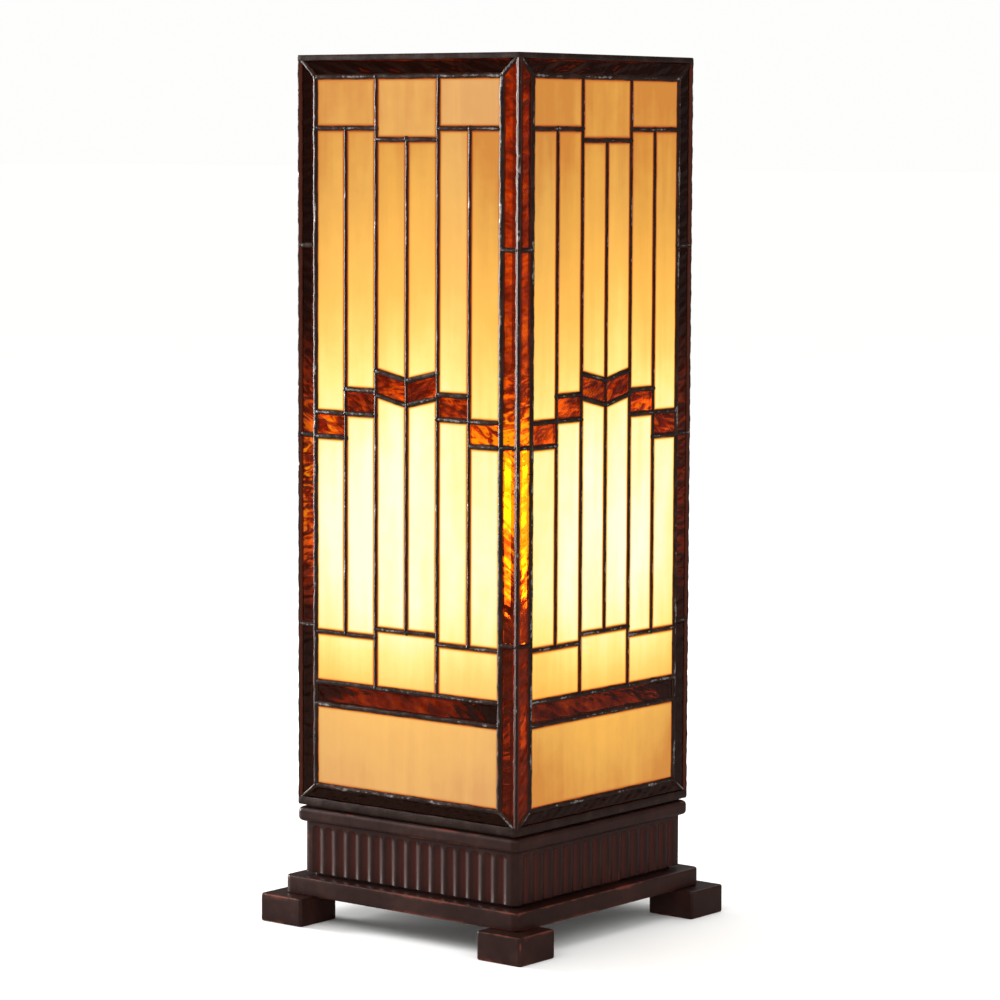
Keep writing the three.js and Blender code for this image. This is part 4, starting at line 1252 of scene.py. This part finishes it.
# %% Lampholder
holder_low, holder_high = span("lampholder_cap")
case_low, case_high = span("lampholder_shell")
case_radius = case_high[0]
case_inner = case_radius - 2.6
rib_count, rib_depth, rib_low, rib_high = 50, 0.45, 4, 24
floor_z = holder_low[2] + 5
cup_turn = np.linspace(0, np.pi / 2, 7)
cup = [(5.3, holder_low[2]), (9.0, holder_low[2]), (9.0, floor_z - 1), (10.0, floor_z)]
cup += [(case_radius - 4.5 + 4.5 * np.sin(a), floor_z + 4.8 - 4.5 * np.cos(a)) for a in cup_turn]
cup += [(case_radius, holder_high[2]), (case_inner, holder_high[2]), (case_inner, floor_z + 5.5),
        (case_inner - 2.5, floor_z + 3.5), (5.3, floor_z + 3.5)]
make_piece("holder_cup", hoop(turned(cup)), plastic, "base", ["lampholder_cap"])


def finger_ribs(z, a):
    """Ribs in a band: the radius falls by their depth times half of one less the cosine of the angle."""
    band = np.clip(z - case_low[2] - rib_low, 0, 1) * np.clip(case_low[2] + rib_high - z, 0, 1)
    return -rib_depth * band * (0.5 - 0.5 * np.cos(rib_count * a))


levels = case_low[2] + np.concatenate([[0, 1.2, 2.0, 3.9], np.linspace(rib_low, rib_low + 1, 4),
                                       [9, 14, 19], np.linspace(rib_high - 1, rib_high, 4)])
outer = [(case_radius, z) for z in levels]
outer += [(case_radius - 0.7, case_low[2] + 25.2), (case_radius - 0.7, case_low[2] + 26.4),
          (case_radius, case_low[2] + 27.2), (case_radius, case_high[2] - 1.5),
          (case_radius - 0.45, case_high[2] - 0.45), (case_radius - 1.5, case_high[2])]
rings = turned(outer, 200, finger_ribs)
lip = case_inner - 2.3
inner = turned([(lip, case_high[2]), (lip, case_high[2] - 1.6), (case_inner, case_high[2] - 1.6),
                (case_inner, case_low[2])], 200)
make_piece("holder_case", hoop(np.concatenate([rings, inner])), plastic, "base",
           ["lampholder_shell"])
print("pieces:", len(made), " triangles:", sum(made.values()))

# %% [markdown]
# ## The floor
# The lamp stands on a plain pale floor. A flat sheet far wider than the lamp does it, and in reflections
# it is darker, so the base keeps its depth.

# %% Floor
floor_mesh = bpy.data.meshes.new("floor")
reach = 40.0
corners = [(-reach, -reach, 0), (reach, -reach, 0), (reach, reach, 0), (-reach, reach, 0)]
floor_mesh.from_pydata(corners, [], [(0, 1, 2, 3)])
floor = bpy.data.objects.new("floor", floor_mesh)
scene.collection.objects.link(floor)
paper, steps, shader = start_finish("pale studio floor")
path = steps.add("LightPath").outputs
seen = steps.math("MAXIMUM", path["Is Camera Ray"], path["Is Diffuse Ray"])
pale = steps.blend(seen, (0.18, 0.18, 0.18, 1), (0.94, 0.94, 0.935, 1))
join(steps, shader, Base_Color=pale, Roughness=0.9, Specular_IOR_Level=0.0)
floor_mesh.materials.append(paper)

# %% [markdown]
# ## The light
# The studio is softly lit. A large light stands high in front, a tall narrow one stands far to the left
# and draws the highlights down the flutes and beads, and weak ones fill the right and the rear. The sky
# is near white to the camera and dim in reflections, as dark studio walls are, so the glass and the
# solder keep their depth.

# %% Lights
def soft_light(name, at, towards, wide, tall, watts):
    """A rectangular light at one point that faces another."""
    lamp = bpy.data.lights.new(name, "AREA")
    lamp.shape, lamp.size, lamp.size_y, lamp.energy = "RECTANGLE", wide, tall, watts
    holder = bpy.data.objects.new(name, lamp)
    turn = (Vector(towards) - Vector(at)).to_track_quat("-Z", "Y")
    holder.matrix_world = Matrix.Translation(at) @ turn.to_matrix().to_4x4()
    scene.collection.objects.link(holder)


soft_light("high front light", (0.3, -1.9, 2.3), (0, 0, 0.1), 1.6, 1.2, 14)
soft_light("left strip", (-1.6, -0.34, 0.35), (0, 0, 0.12), 0.45, 1.1, 48)
soft_light("right fill", (1.9, -0.6, 1.5), (0, 0, 0.1), 1.0, 1.0, 5)
soft_light("rear light", (-0.6, 2.2, 2.0), (0, 0, 0.15), 1.4, 1.0, 8)

world = bpy.data.worlds.new("studio")
scene.world = world
world.use_nodes = True
steps = Steps(world.node_tree)
sky = world.node_tree.nodes["Background"]
path = steps.add("LightPath").outputs
reflected, extra_seen, extra_lit = 0.12, 0.90, 0.98
extra = steps.plus(steps.times(path["Is Camera Ray"], extra_seen),
                   steps.times(path["Is Diffuse Ray"], extra_lit))
world.node_tree.links.new(steps.plus(extra, reflected), sky.inputs["Strength"])
sky.inputs["Color"].default_value = (0.97, 0.968, 0.962, 1)
scene.view_settings.view_transform = "Standard"
scene.view_settings.look = "None"
